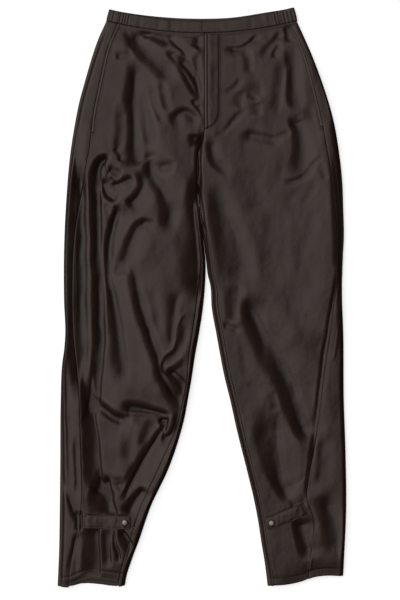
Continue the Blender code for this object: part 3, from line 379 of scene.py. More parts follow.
FOLDS = {
    # Right leg, hip.
    "pocket": Fold(5.5, (12, 26), 13, 0.5, (
        (-126, 432), (-129, 400), (-131, 360), (-132, 310), (-131, 262), (-128, 238), (-117, 220))),
    "pocket_hook": Fold(4, (11, 10), 9, 0.3, (
        (-124, 232), (-114, 213), (-113, 200), (-120, 186), (-131, 174), (-140, 167))),
    "pocket_strip": Fold(1.9, (9, 8), 9, 0, (
        (-153, 350), (-152, 322), (-152, 298), (-154, 280), (-158, 262))),
    "pocket_top": Fold(0.7, (6, 8), 7, 0, ((-139, 484), (-136, 463), (-133, 444))),
    "pocket_nick": Fold(1.2, (10, 10), 8, 0, ((-127, 446), (-140, 441), (-156, 440))),
    "hip_soft": Fold(2.1, (10, 12), 13, 0, (
        (-117, 388), (-113, 350), (-109, 316), (-101, 286), (-95, 258))),
    "hip": Fold(4.2, (9, 22), 16, -0.3, (
        (-133, 480), (-128, 465), (-122, 449), (-108, 431), (-86, 410), (-68, 392), (-46, 377))),
    "hip_tick_1": Fold(2.4, (6, 7), 7, 0.2, ((-119, 484), (-108, 473), (-97, 461))),
    "hip_tick_2": Fold(2.6, (8, 12), 10, 0, (
        (-112, 487), (-100, 474), (-86, 463), (-70, 455), (-60, 447))),
    "fly_pinch": Fold(2, (4, 4), 4, 0.6, ((-66, 474), (-52, 458), (-38, 443), (-25, 424))),
    "fly_left": Fold(2.8, (8, 8), 7, 0.3, (
        (-62, 452), (-61, 437), (-52, 423), (-41, 410), (-25, 381), (-7, 356), (2, 339))),
    "fly_right": Fold(4, (6, 7), 9, -0.6, (
        (-50, 437), (-40, 422), (-29, 410), (-20, 396), (-11, 380), (-3, 365), (4, 350))),
    "fly_ray_1": Fold(1.8, (4, 4), 5, 0.2, ((-20, 354), (-10, 340), (2, 324))),
    "fly_ray_2": Fold(1.4, (4, 4), 4, 0.2, ((-8, 345), (-3, 335), (3, 318))),
    "fly_top": Fold(1.9, (9, 9), 8, 0, ((-12, 478), (-11, 463), (-16, 447))),
    "fly_soft": Fold(1.6, (8, 8), 8, 0, ((-13, 442), (-12, 415), (-8, 388))),
    "arch": Fold(2.8, (8, 10), 11, 0.4, (
        (3, 318), (-7, 325), (-18, 333), (-30, 338), (-42, 334), (-52, 326), (-63, 319))),
    "arch_left": Fold(1.8, (8, 7), 7, 0.3, (
        (-98, 384), (-93, 360), (-87, 338), (-79, 320), (-64, 307))),
    "arch_middle": Fold(1.4, (9, 8), 9, 0, ((-80, 390), (-75, 366), (-70, 345), (-64, 328))),
    "crotch_blob": Fold(2.4, (12, 12), 6, 0.2, ((-18, 296), (-19, 282), (-14, 268))),
    "crotch_smudge": Fold(2.4, (12, 12), 10, 0, ((-42, 237), (-58, 243), (-74, 241), (-89, 229))),
    "crotch_groove": Fold(5, (6, 9), 4, 0.4, (
        (2, 312), (-4, 290), (-8, 265), (-9, 238), (-8, 200), (-6, 165), (-3, 130), (1, 95),
        (6, 50)), quick=1),
    # Right leg, thigh.
    "star_hook": Fold(1.8, (6, 6), 6, 0.4, ((-161, 266), (-154, 260), (-149, 252), (-151, 243))),
    "star_patch": Fold(2.4, (8, 9), 9, 0.2, ((-139, 224), (-148, 228), (-158, 232), (-168, 236))),
    "wedge": Fold(3.2, (11, 4), 7, 0.5, ((-120, 220), (-134, 214), (-148, 208), (-168, 201))),
    "wedge_tip": Fold(0.3, (5, 6), 6, 0.2, ((-169, 207), (-178, 211), (-187, 217))),
    "elbow": Fold(4.6, (7, 8), 8, 0.4, (
        (-185, 215), (-181, 200), (-174, 185), (-163, 175), (-150, 168))),
    "elbow_arm_1": Fold(1.5, (6, 8), 8, 0.2, ((-178, 172), (-174, 158), (-169, 142), (-168, 122))),
    "thigh_outer": Fold(7.4, (9, 10, 14, 15, 20, 22), 6, 0, (
        (-163, 249), (-173, 254), (-184, 249), (-192, 236), (-196, 218), (-197, 190), (-196, 150),
        (-195, 100), (-194, 40), (-193, -31), (-195, -103), (-201, -145), (-205, -188),
        (-208, -224)), quick=0.5),
    "thigh_side": Fold(6.2, (6, 8, 12, 14, 20, 22), 8, 0.1, (
        (-153, 174), (-157, 156), (-163, 135), (-170, 108), (-175, 72), (-175, 35), (-170, 0),
        (-164, -42), (-157, -88), (-154, -136), (-152, -172))),
    "thigh_middle": Fold(5, (12, 20), 13, 0.3, (
        (-94, 275), (-98, 255), (-100, 235), (-95, 213), (-81, 190), (-70, 169), (-66, 148),
        (-69, 126), (-74, 104))),
    "thigh_cross": Fold(3.8, (7, 17), 14, 0.1, (
        (-84, 144), (-93, 139), (-106, 140), (-119, 132), (-127, 116), (-137, 92), (-148, 72),
        (-157, 56), (-166, 40))),
    "thigh_cross_over": Fold(0.5, (22, 24), 24, 0, (
        (-84, 160), (-102, 164), (-120, 170), (-138, 176))),
    "knee_bridge": Fold(1.0, (8, 8), 8, 0, ((-133, 57), (-146, 54), (-162, 55))),
    "outer_upper": Fold(1.8, (6, 10), 6, 0.3, (
        (-221, 330), (-226, 300), (-230, 270), (-232, 240), (-234, 205), (-235, 160))),
    "outer_lower": Fold(8, (10, 20, 24, 26, 24), 12, 0.3, (
        (-226, 250), (-227, 205), (-228, 170), (-229, 120), (-229, 70), (-229, 20), (-229, -30),
        (-229, -80), (-231, -130), (-235, -205)), quick=0.6),
    "inner_lower": Fold(7, (8, 20, 32, 32, 10), 5, 0.8, (
        (-13, 240), (-16, 205), (-20, 165), (-23, 130), (-24, 90), (-22, 50), (-17, 15),
        (-9, -20)), quick=1),
    # Right leg, knee.
    "knee": Fold(6, (15, 15, 15, 15), 11, 0.5, (
        (-139, 84), (-131, 46), (-122, 6), (-113, -28), (-103, -58), (-93, -92), (-82, -122),
        (-75, -145), (-61, -171), (-48, -196), (-46, -224))),
    "knee_inner": Fold(1.4, (8, 9), 9, -0.3, (
        (-31, -38), (-36, -60), (-42, -80), (-52, -98), (-64, -110), (-68, -122), (-63, -136))),
    "knee_pocket": Fold(1.5, (15, 7), 7, 0.4, (
        (-53, 16), (-57, -10), (-58, -45), (-58, -70), (-57, -92))),
    "knee_soft": Fold(0.8, (9, 8), 8, 0, ((-97, 24), (-89, -10), (-84, -42), (-77, -74))),
    "knee_low": Fold(6, (7, 20), 6, -0.3, ((-67, -129), (-53, -146), (-42, -164), (-33, -192))),
    # Right leg, calf.
    "calf_back": Fold(6.5, (16, 11, 12), 9, 0.1, (
        (-122, -216), (-138, -213), (-154, -208), (-166, -200), (-180, -190), (-196, -180),
        (-208, -176))),
    "calf_top": Fold(4.6, (8, 14), 8, 0.6, (
        (-53, -220), (-62, -209), (-80, -201), (-98, -197), (-118, -193), (-136, -192),
        (-153, -198))),
    "calf_curl": Fold(3.2, (8, 6), 6, 0.4, (
        (-47, -200), (-48, -222), (-54, -238), (-62, -247), (-74, -248))),
    "calf_wedge": Fold(5, (6, 4), 5, 0.3, ((-58, -219), (-68, -218), (-80, -221))),
    "calf_step": Fold(5.2, (8, 15), 5, 0.8, (
        (-61, -218), (-76, -236), (-90, -258), (-104, -280), (-117, -301), (-130, -324),
        (-143, -348), (-152, -366))),
    "calf_soft_1": Fold(1.3, (12, 12), 14, 0, ((-136, -220), (-139, -255), (-142, -302))),
    "calf_soft_2": Fold(2, (12, 10), 9, 0, ((-88, -214), (-104, -240), (-114, -272))),
    "calf_flap": Fold(4.5, (8, 14), 9, 0.2, (
        (-105, -334), (-117, -351), (-130, -367), (-147, -388))),
    "calf_ridge": Fold(6.4, (10, 14, 18, 21, 22), 5, -0.6, (
        (-209, -125), (-212, -165), (-210, -205), (-207, -250), (-206, -290), (-204, -325),
        (-202, -358)), quick=0.6),
    "rim_streak_1": Fold(1.2, (4, 4), 5, 0.2, ((-243, -205), (-242, -270), (-241, -335))),
    "rim_streak_2": Fold(1.1, (4, 4), 5, 0.2, ((-230, -245), (-228, -300), (-228, -370))),
    "rim_streak_3": Fold(1.2, (5, 5), 5, 0.2, (
        (-252, -95), (-248, -140), (-246, -200), (-245, -240))),
    "rim_crease": Fold(2.2, (5, 7), 8, 0.2, (
        (-253, -314), (-248, -343), (-240, -365), (-233, -387), (-228, -414))),
    "strap_slit_1": Fold(2.0, (4, 4), 2.5, 0, ((-227, -380), (-226, -400), (-227, -420)), quick=1),
    "strap_slit_2": Fold(2.2, (4, 4), 2.5, 0, ((-219, -380), (-219, -400), (-220, -420)), quick=1),
    "ankle_streak_1": Fold(1, (5, 5), 6, 0.2, (
        (-227, -420), (-232, -445), (-238, -472), (-243, -506))),
    "ankle_streak_2": Fold(1.2, (7, 8), 6, 0.2, (
        (-227, -416), (-229, -445), (-231, -475), (-233, -505))),
    "pleat_1": Fold(2.2, (10, 12), 7, 0.3, (
        (-134, -326), (-155, -325), (-172, -319), (-192, -312))),
    "pleat_2": Fold(2, (6, 8), 6, 0.2, ((-138, -334), (-155, -336), (-170, -335), (-190, -329))),
    "pleat_3": Fold(4.5, (7, 9), 6, 0.2, ((-150, -352), (-163, -348), (-180, -344), (-202, -338))),
    "pit": Fold(6.4, (24, 36), 4, 0.2, (
        (-190, -322), (-187, -345), (-183, -375), (-181, -402)), quick=1),
    "ankle": Fold(4.8, (22, 26), 5, 0.2, (
        (-205, -396), (-205, -435), (-206, -470), (-208, -512)), quick=1),
    "ankle_patch": Fold(3, (12, 12), 6, -0.2, (
        (-175, -404), (-177, -438), (-178, -462), (-176, -490)), quick=1),
    "ankle_line": Fold(2.5, (6, 6), 4, 0.2, (
        (-161, -410), (-160, -440), (-154, -460), (-153, -480)), quick=1),
    "ankle_inner": Fold(4.4, (9, 20), 4, 0, (
        (-153, -406), (-147, -428), (-139, -445), (-131, -462), (-128, -480)), quick=1),
    # Left leg, hip.
    "left_yoke": Fold(2.2, (6, 6), 7, 0.3, (
        (101, 480), (92, 469), (83, 459), (73, 453), (62, 451), (50, 451), (36, 447))),
    "left_blob": Fold(1.2, (9, 9), 9, 0, ((67, 443), (76, 432), (79, 418), (78, 400))),
    "left_hip": Fold(1.6, (7, 9), 9, 0.3, (
        (143, 483), (133, 471), (122, 458), (111, 446), (99, 431))),
    "left_hip_short": Fold(1.7, (5, 5), 6, 0.2, ((140, 458), (131, 446), (125, 430))),
    "left_side_top": Fold(1.8, (7, 7), 7, 0, ((145, 494), (150, 476), (151, 454))),
    "left_pocket": Fold(2.3, (9, 11), 15, -0.7, (
        (150, 458), (154, 430), (156, 400), (157, 370), (160, 348), (168, 329))),
    "left_pocket_low": Fold(3.2, (8, 19), 14, -0.5, (
        (155, 332), (160, 314), (166, 300), (167, 280), (168, 260), (164, 240), (151, 217))),
    "left_hip_soft": Fold(1.3, (12, 13), 8, 0, (
        (143, 438), (136, 408), (131, 378), (128, 350), (121, 330))),
    "left_fly_short": Fold(0.9, (6, 6), 8, 0.3, ((69, 399), (61, 384), (52, 376), (36, 373))),
    "left_fly_soft": Fold(1.1, (12, 12), 10, 0, ((63, 374), (61, 356), (57, 340))),
    "left_hip_wide": Fold(1.6, (16, 18), 12, 0, ((114, 385), (98, 382), (84, 372), (75, 356))),
    "left_hip_spot": Fold(1.2, (12, 12), 10, 0, ((90, 352), (90, 324))),
    "left_fly_diagonal": Fold(0.9, (6, 6), 7, 0.4, (
        (81, 344), (68, 333), (56, 321), (45, 309), (33, 299), (18, 296))),
    "left_cross": Fold(2.2, (9, 9), 12, 0.3, (
        (148, 282), (128, 289), (110, 294), (90, 297), (66, 296))),
    "left_cross_tick": Fold(0.7, (7, 6), 7, 0.2, ((158, 301), (145, 296), (131, 289))),
    "left_side_soft": Fold(0.6, (10, 11), 9, 0, ((184, 354), (189, 322), (194, 295), (197, 264))),
    "left_crotch": Fold(2.2, (8, 10), 9, -0.3, (
        (8, 294), (10, 272), (14, 252), (20, 238), (32, 226), (49, 208))),
    "left_seat": Fold(1.2, (6, 6), 7, 0.4, (
        (217, 259), (203, 247), (192, 236), (184, 223), (172, 214), (158, 212), (146, 217))),
    "left_tick_1": Fold(0.7, (8, 7), 7, 0, ((205, 242), (212, 226), (218, 205))),
    "left_tick_2": Fold(0.4, (8, 7), 8, 0, ((203, 215), (194, 198), (186, 184), (175, 175))),
    "left_tick_3": Fold(0.25, (8, 7), 8, 0, ((178, 199), (163, 189), (145, 171))),
    "left_tick_4": Fold(0.3, (9, 9), 7, 0.2, ((140, 244), (135, 220), (135, 199))),
    "left_tick_5": Fold(0.25, (7, 8), 13, 0, (
        (198, 163), (191, 138), (187, 115), (178, 95), (164, 74))),
    # Left leg, thigh and knee.
    "left_inner": Fold(4.0, (9, 20, 32, 36), 20, -0.3, (
        (16, 212), (20, 175), (24, 140), (32, 105), (40, 70), (46, 35), (50, 0))),
    "left_inner_low": Fold(2.3, (22, 8), 8, 0, ((47, 28), (48, 0), (49, -25), (48, -48))),
    "left_thigh_1": Fold(1.3, (24, 28), 30, 0, ((65, 240), (70, 200), (74, 170), (84, 136))),
    "left_thigh_2": Fold(0.4, (14, 14), 20, 0, (
        (97, 238), (101, 190), (108, 150), (112, 110), (110, 70), (115, 25))),
    "left_seam": Fold(3.6, (10, 12), 4, 0.6, (
        (228, 270), (235, 225), (238, 185), (240, 145), (241, 105), (242, 65), (240, 45))),
    "left_seam_calf": Fold(1.7, (5, 5, 5, 6), 3, 0.6, (
        (241, 60), (238, 25), (231, -10), (225, -50), (219, -85), (214, -120), (209, -160),
        (204, -200), (200, -245))),
    "left_seam_low": Fold(3, (7, 7), 4, 0.5, (
        (202, -222), (197, -262), (193, -300), (189, -335), (186, -360))),
    "left_knee": Fold(7.0, (10, 20, 27, 24, 20, 17), 13, 0.1, (
        (68, 8), (75, -22), (88, -58), (106, -95), (126, -130), (143, -164), (154, -195),
        (165, -226), (180, -253), (196, -274))),
    "left_knee_rim": Fold(1.3, (9, 8), 7, 0.3, ((73, -59), (59, -49), (46, -45), (36, -46))),
    "left_knee_soft": Fold(0.3, (8, 9), 9, 0, ((67, -84), (71, -115), (77, -154))),
    "left_knee_cross": Fold(0.35, (9, 9), 9, 0.1, (
        (133, -172), (115, -163), (100, -155), (84, -144))),
    "left_knee_tail": Fold(0.9, (8, 8), 9, 0, ((119, -168), (124, -190), (129, -208))),
    # Left leg, calf.
    "left_calf": Fold(5.6, (36, 26, 16, 15), 14, -0.2, (
        (100, -175), (103, -220), (107, -255), (116, -290), (125, -318), (137, -343), (152, -362),
        (172, -374))),
    "left_calf_end": Fold(1.4, (12, 12), 5, 0.2, ((189, -358), (172, -361), (154, -367))),
    "left_back_upper": Fold(1.7, (8, 9), 22, -0.4, (
        (213, -238), (211, -275), (209, -310), (203, -344))),
    "left_back_low": Fold(3.0, (12, 20, 30), 10, 0, (
        (202, -356), (213, -377), (220, -400), (222, -425), (220, -450), (222, -480))),
    "left_ankle": Fold(4.6, (12, 14), 10, -0.3, (
        (165, -394), (170, -420), (176, -446), (182, -476))),
}


class Swell(NamedTuple):
    """A soft ridge along a route: a broad one is a leg's fullness, a narrow one is a crest."""

    height: float
    width: float
    route: tuple

    def reach(self):
        return SWELL_SPAN * self.width

    def lift(self, side, _):
        return self.height * hump(side, self.width)


SWELLS = {
    "left_thigh_full": Swell(5, 42, (
        (222, 330), (232, 250), (236, 150), (234, 60), (224, -20), (210, -100))),
    "knee_full": Swell(3.5, 30, ((-118, 60), (-104, 0), (-86, -70), (-66, -140), (-52, -180))),
    "hip_full": Swell(2, 30, ((-60, 300), (-50, 220), (-45, 150))),
    "knee_inner_crest": Swell(1.7, 3.2, (
        (-14, -30), (-30, -30), (-39, -39), (-46, -57), (-48, -75), (-52, -93), (-66, -103),
        (-73, -114), (-72, -132), (-60, -150), (-48, -168), (-37, -190))),
    "calf_crest": Swell(1.4, 3.2, (
        (-172, -190), (-150, -206), (-122, -209), (-90, -209), (-62, -214), (-50, -220))),
    "calf_seam_ridge": Swell(0.9, 2.4, ((-221, -240), (-219, -290), (-217, -340), (-212, -385))),
    "outer_stripe": Swell(1.2, 5.0, (
        (-206, 235), (-208, 150), (-208, 60), (-206, -20), (-206, -120))),
    "outer_streak_1": Swell(0.6, 2.0, (
        (-220, 240), (-224, 190), (-226, 130), (-226, 60), (-225, 0), (-226, -90))),
    "step_edge": Swell(1.0, 2.6, ((-112, -290), (-125, -315), (-138, -340), (-150, -363))),
    "left_outseam": Swell(0.9, 2.4, (
        (240, 0), (233, -40), (227, -80), (221, -120), (216, -160), (212, -200), (206, -240),
        (202, -280), (199, -300), (196, -320), (192, -340), (189, -355))),
    "left_outseam_low": Swell(1.0, 2.6, (
        (200, -410), (200, -425), (198, -450), (194, -480), (190, -500))),
    "left_outer_streak": Swell(0.8, 2.4, (
        (252, 30), (248, -20), (244, -60), (238, -100), (233, -115))),
}


class Strap(NamedTuple):
    """An ankle strap from its root at the outseam to its free end, with its snap."""

    leg: Leg
    root: tuple
    tip: tuple
    width: float
    snap: tuple


STRAPS = (
    Strap(RIGHT, root=(-212, -402), tip=(-128, -404), width=24, snap=(-137, -404)),
    Strap(LEFT, root=(186, -379), tip=(116, -408), width=23, snap=(126, -405)),
)


# Curves and blends.


def along(rows, at):
    """The smooth curve through rows of (position, value), read at any positions."""
    position, value = np.array(sorted(rows), float).T
    slope = np.gradient(value, position)
    at = np.clip(at, position[0], position[-1])
    span = np.clip(np.searchsorted(position, at) - 1, 0, len(position) - 2)
    length = position[span + 1] - position[span]
    share = (at - position[span]) / length
    from_start = value[span] + share * length * slope[span]
    from_end = value[span + 1] - (1 - share) * length * slope[span + 1]
    start_pull = (1 - share) ** 2 * (value[span] * 2 * share + from_start)
    end_pull = share**2 * (value[span + 1] * 2 * (1 - share) + from_end)
    return start_pull + end_pull


def blend(value, start, end):
    """0 before start and 1 after end, smooth in between."""
    share = np.clip((value - start) / (end - start), 0, 1)
    return share * share * (3 - 2 * share)


def hump(distance, width):
    """1 at no distance, and smoothly less away from it."""
    return np.exp(-((distance / width) ** 2))


def smooth_route(route):
    """A curve through the route's points, as many short runs."""
    points = np.array(route, float)
    last = len(points) - 1
    fine = np.linspace(0, last, last * ROUTE_STEPS + 1)
    return np.stack([along(list(enumerate(values)), fine) for values in points.T], axis=1)


def route_frame(route, x, y):
    """For each place: how far it is to the left of the route, and its share of the way along."""
    nearest = np.full(x.shape, np.inf)
    side = np.zeros(x.shape)
    share = np.zeros(x.shape)
    for index in range(len(route) - 1):
        start = route[index]
        run = route[index + 1] - start
        from_x = x - start[0]
        from_y = y - start[1]
        part = np.clip((from_x * run[0] + from_y * run[1]) / (run @ run), 0, 1)
        away = np.hypot(from_x - part * run[0], from_y - part * run[1])
        closer = away < nearest
        nearest = np.where(closer, away, nearest)
        turn = np.sign(run[0] * from_y - run[1] * from_x)
        side = np.where(closer, away * turn, side)
        share = np.where(closer, (index + part) / (len(route) - 1), share)
    return side, share


def read_grid(grid, column, row, eased):
    """Values of a grid between its points, with no change of slope at them if eased."""
    left = np.minimum(column.astype(int), grid.shape[1] - 2)
    below = np.minimum(row.astype(int), grid.shape[0] - 2)
    share_x, share_y = column - left, row - below
    if eased:
        share_x, share_y = blend(share_x, 0, 1), blend(share_y, 0, 1)
    low = grid[below, left] * (1 - share_x) + grid[below, left + 1] * share_x
    high = grid[below + 1, left] * (1 - share_x) + grid[below + 1, left + 1] * share_x
    return low * (1 - share_y) + high * share_y


def drift(kind, x, y):
    """The random values of a Drift at any places."""
    column = np.clip((x + DRIFT_START[0]) / kind.across, 0, None)
    row = np.clip((y + DRIFT_START[1]) / kind.along, 0, None)
    size = (int(DRIFT_SPAN[1] / kind.along) + 4, int(DRIFT_SPAN[0] / kind.across) + 4)
    lattice = np.random.default_rng(kind.seed).uniform(-1, 1, size)
    return kind.amount * read_grid(lattice, column, row, True)


# The height of the leather on top.


def band_foot(x):
    """Height up the garment of the waistband's lower edge."""
    return BAND_FOOT + BAND_FOOT_RISE * (x / HALF_WAIST) ** 2


def above_hem(leg, x, y):
    """How far a place is up from the front hem."""
    return y - along(leg.front_hem, x)


def legs_apart(y):
    """0 where the legs are one tube, 1 where each is its own."""
    return 1 - blend(y, CROTCH_END, CROTCH_TOP)


def inner_edge(leg, y):
    """The leg's inner outline, which is the centre front above the crotch."""
    return along(leg.inner, y) + leg.out * LEGS_PARTED * legs_apart(y)


def inseam_roll(leg, y):
    """How far a back panel bends at the inner rim, and how far it goes on past the bend."""
    rolled = 1 - blend(y, CROTCH_ROLLED, CROTCH_END)
    past = along(leg.inseam_inset, y) - RIM_RADIUS
    return math.pi / 2 * (1 + rolled), SEAM_STAND + (past - SEAM_STAND) * rolled, rolled


def front_inset(leg, y):
    """How far in from the inner outline a front panel ends, clear of the back panel's wall."""
    turn, past, _ = inseam_roll(leg, y)
    tip = RIM_RADIUS * (1 - np.sin(turn)) - past * np.cos(turn)
    beside = tip + SINGLE * np.sin(turn) + SEAM_GAP
    return SEAM_GAP / 2 + (beside - SEAM_GAP / 2) * legs_apart(y)


def away_from(distance, reach):
    """0 on the rim and 1 well inside it."""
    return 1 - hump(np.maximum(np.abs(distance) - RIM_RADIUS, 0), reach)


def fullness(leg, x, y, outer_reach, inner_reach, waist_reach, hem_reach, hem_share=1.0):
    """0 at the edges of the leather and 1 well inside them."""
    outer = away_from(along(leg.outer, y) - x, outer_reach)
    inner = 1 - legs_apart(y) * (1 - away_from(x - inner_edge(leg, y), inner_reach))
    waist = away_from(band_foot(x) - y, waist_reach)
    hem = 1 - hem_share * (1 - away_from(above_hem(leg, x, y), hem_reach))
    return outer * inner * waist * hem


def strap_frame(strap):
    """Root, run to the tip, and the direction across a strap."""
    root = np.array(strap.root, float)
    run = np.array(strap.tip, float) - root
    return root, run, np.array([-run[1], run[0]]) / np.linalg.norm(run)


def calm(x, y):
    """1 where folds may run, 0 under the straps and the fly."""
    free = np.ones(x.shape)
    for strap in STRAPS:
        root, run, _ = strap_frame(strap)
        inside = root + run * strap.width / 2 / np.linalg.norm(run)
        side, _ = route_frame(np.array([inside, strap.tip], float), x, y)
        start, end = (strap.width / 2 + past for past in STRAP_CALM)
        free = free * blend(np.abs(side), start, end)
    past_fly = np.abs(x - CENTRE_FRONT - FLY_WIDTH / 2) - FLY_WIDTH / 2
    return free * blend(np.maximum(past_fly, FLY_END - y), 0, FLY_CALM)


def falling(crease):
    """Share of the drop at places across a flank one wide, and where the flank ends."""
    above = SOFT_EDGE + SOFT_SKEW * crease
    below = SOFT_EDGE - SOFT_SKEW * crease
    begun = blend(ACROSS, -0.5 - above / 2, -0.5 + above / 2)
    slope = begun * (1 - blend(ACROSS, 0.5 - below / 2, 0.5 + below / 2))
    return np.cumsum(slope) / slope.sum(), 0.5 + below / 2


def fallen_share(fold, side, share):
    """From 0 to 1: how far the leather has fallen at a distance from the route."""
    width = np.interp(share, np.linspace(0, 1, len(fold.flank)), fold.flank)
    fallen, foot = falling(fold.crease)
    fall = np.interp(side / width, ACROSS, fallen)
    past = side - foot * width
    back = np.clip(past / fold.rise, 0, 1)
    quick = blend(back, 0, 1)
    if fold.crease > 0:
        quick += fold.crease * (1 - (1 - back) ** 2 - quick)
    slow = blend(past, 0, max(SLOW_RISE * fold.drop, fold.rise))
    return fall * (1 - fold.quick * quick - (1 - fold.quick) * slow)


def fading(route, share):
    """0 at the ends of a route and 1 along the rest of it."""
    length = np.linalg.norm(np.diff(route, axis=0), axis=1).sum()
    return blend(np.minimum(share, 1 - share) * length, 0, min(LONGEST_FADE, length / FADE_PART))


ROUTES = {name: smooth_route(row.route) for name, row in (FOLDS | SWELLS).items()}


def lifted(rows, x, y, found_x, found_y, scale):
    """What the rows of a table add to the height of the leather at (x, y), together. Their
    routes are looked for at (found_x, found_y)."""
    total = np.zeros(x.shape)
    for name, row in rows.items():
        low = ROUTES[name].min(axis=0) - row.reach()
        high = ROUTES[name].max(axis=0) + row.reach()
        near = (x > low[0]) & (x < high[0]) & (y > low[1]) & (y < high[1])
        if near.any():
            side, share = route_frame(ROUTES[name], found_x[near], found_y[near])
            total[near] += row.lift(side, share) * fading(ROUTES[name], share) * scale[near]
    return total


def fold_height(x, y):
    """The folds together, each wandering a little from its route and uneven in depth."""
    return lifted(
        FOLDS, x, y, x + drift(WANDER_X, x, y), y + drift(WANDER_Y, x, y), 1 + drift(UNEVEN, x, y))


def broad_level():
    """The folds' height averaged over a broad patch, on a grid from its lower left corner."""
    across = np.arange(-LEVEL_HALF_WIDTH, LEVEL_HALF_WIDTH + LEVEL_CELL, LEVEL_CELL)
    height = np.arange(-LEVEL_HALF_HEIGHT, LEVEL_HALF_HEIGHT + LEVEL_CELL, LEVEL_CELL)
    level = fold_height(*np.meshgrid(across, height))
    reach = np.arange(-3 * LEVEL_PATCH, 3 * LEVEL_PATCH + LEVEL_CELL, LEVEL_CELL)
    weight = np.exp(-((reach / LEVEL_PATCH) ** 2) / 2)
    weight /= weight.sum()
    for axis in (0, 1):
        level = np.apply_along_axis(np.convolve, axis, level, weight, mode="same")
    return level


LEVEL = broad_level()


def level_at(x, y):
    """The broad level at any places."""
    column = np.clip((x + LEVEL_HALF_WIDTH) / LEVEL_CELL, 0, LEVEL.shape[1] - 1)
    row = np.clip((y + LEVEL_HALF_HEIGHT) / LEVEL_CELL, 0, LEVEL.shape[0] - 1)
    return read_grid(LEVEL, column, row, False)


def seam_sink(leg, x, y):
    """How far the leather sinks at the outseam and the inseam."""
    to_outseam = x - along(leg.outseam, y)
    to_inseam = x - inner_edge(leg, y) - leg.out * front_inset(leg, y)
    pull = hump(to_outseam, SEAM_SINK_WIDTH) + hump(to_inseam, SEAM_SINK_WIDTH)
    return SEAM_SINK * pull * (1 + drift(SEAM_PUCKER, x, y))


def hem_sink(leg, x, y):
    """The furrow of the hem's stitching."""
    return HEM_SINK * hump(above_hem(leg, x, y) - HEM_STITCHES[leg.name], SEAM_SINK_WIDTH)


def top_height(leg, x, y):
    """Height of the outer face of the leather on top of a leg."""
    outer_reach = along(leg.outer_reach, y)
    rise = fullness(leg, x, y, outer_reach, leg.inner_reach, WAIST_REACH, HEM_REACH, HEM_SHARE)
    window = fullness(leg, x, y, FOLD_FULL, FOLD_FULL, FOLD_FULL, FOLD_FULL)
    to_band = band_foot(x) - y
    ends = away_from(to_band, FOLD_FULL) * away_from(above_hem(leg, x, y), FOLD_FULL)
    free = calm(x, y)
    swells = lifted(SWELLS, x, y, x, y, np.ones(x.shape))
    folds = (fold_height(x, y) + swells) * free * window
    folds = folds - LEVELLED * level_at(x, y) * free * ends
    loose = sum(drift(kind, x, y) for kind in LOOSE)
    at_band = WAIST_LIFT * (1 - blend(to_band, 0, WAIST_LIFT_REACH))
    above = RIM_HEIGHT + (LOFT - RIM_HEIGHT) * rise + folds + loose * window + at_band - LOWEST
    top = LOWEST + (above + np.sqrt(above**2 + VALLEY_SOFTNESS**2)) / 2
    return top - seam_sink(leg, x, y) - hem_sink(leg, x, y)


def on_top(leg, x, y, lift=0.0):
    """Points on the outer face of a leg's leather, or this far above it."""
    x, y = np.broadcast_arrays(np.asarray(x, float), np.asarray(y, float))
    return np.stack([x, y, top_height(leg, x, y) + lift], axis=-1)


def raised(base, height):
    """Points a height above others."""
    return base + np.array([0, 0, 1.0]) * height[..., None]


# Sheets. Each is a grid of outer points and one of inner points, down the garment by rows and
# across it by columns.


def grid_out(outer, column, up):
    """Directions out of a grid of points, which in one column face up (1) or down (-1)."""
    out = np.cross(np.gradient(outer, axis=0), np.gradient(outer, axis=1))
    out /= np.linalg.norm(out, axis=-1, keepdims=True) + TINY
    return out * up * np.sign(out[:, column, 2].mean())


def near_ends(start, end, count, crowding):
    """Values from start to end, even at a crowding of 0 and closest near the ends at 1."""
    share = np.linspace(0, 1, count)
    crowd = (1 - np.cos(math.pi * share)) / 2
    return start + (end - start) * (crowding * crowd + (1 - crowding) * share)


def leg_span(leg):
    """Heights of the outseam's ends, at the waistband and at the hem."""
    top = band_foot(along(leg.outseam, BAND_FOOT)) - SEAM_GAP
    return top, along(leg.front_hem, along(leg.outseam, BELOW_HEMS))


def leg_rows(leg):
    """Heights of the rows at the outseam, crowded at both ends."""
    top, hem = leg_span(leg)
    return near_ends(top, hem, round((top - hem) / CELL), ROW_CROWDING)


def follow_ends(leg, x, row, hem, lift=0.0):
    """Bend straight rows to the waistband at one end of the leg and to the hem at the other."""
    top, low = leg_span(leg)
    to_waist = band_foot(x) - SEAM_GAP + lift - top
    to_hem = along(hem, x) - low
    near_waist = np.clip(1 - (top - row) / WAIST_BEND, 0, 1) ** 2
    near_hem = np.clip(1 - (row - low) / HEM_BEND, 0, 1) ** 2
    return row + to_waist * near_waist + to_hem * near_hem


def wall_of(row):
    """Thickness down a leg: double where the hem is turned up."""
    turned = row.min() + HEM_TURN
    return (SINGLE + (DOUBLE - SINGLE) * (1 - blend(row, turned, turned + HEM_STEP)))[..., None]


def front_sheet(leg):
    """A front panel, from outseam to inseam."""
    row = leg_rows(leg)[:, None]
    start = along(leg.outseam, row) - leg.out * SEAM_GAP / 2
    end = inner_edge(leg, row) + leg.out * front_inset(leg, row)
    x = start + (end - start) * near_ends(0, 1, FRONT_COLUMNS, COLUMN_CROWDING)[None, :]
    outer = on_top(leg, x, follow_ends(leg, x, row, leg.front_hem))
    return outer, outer - grid_out(outer, FRONT_COLUMNS // 2, 1) * wall_of(row)


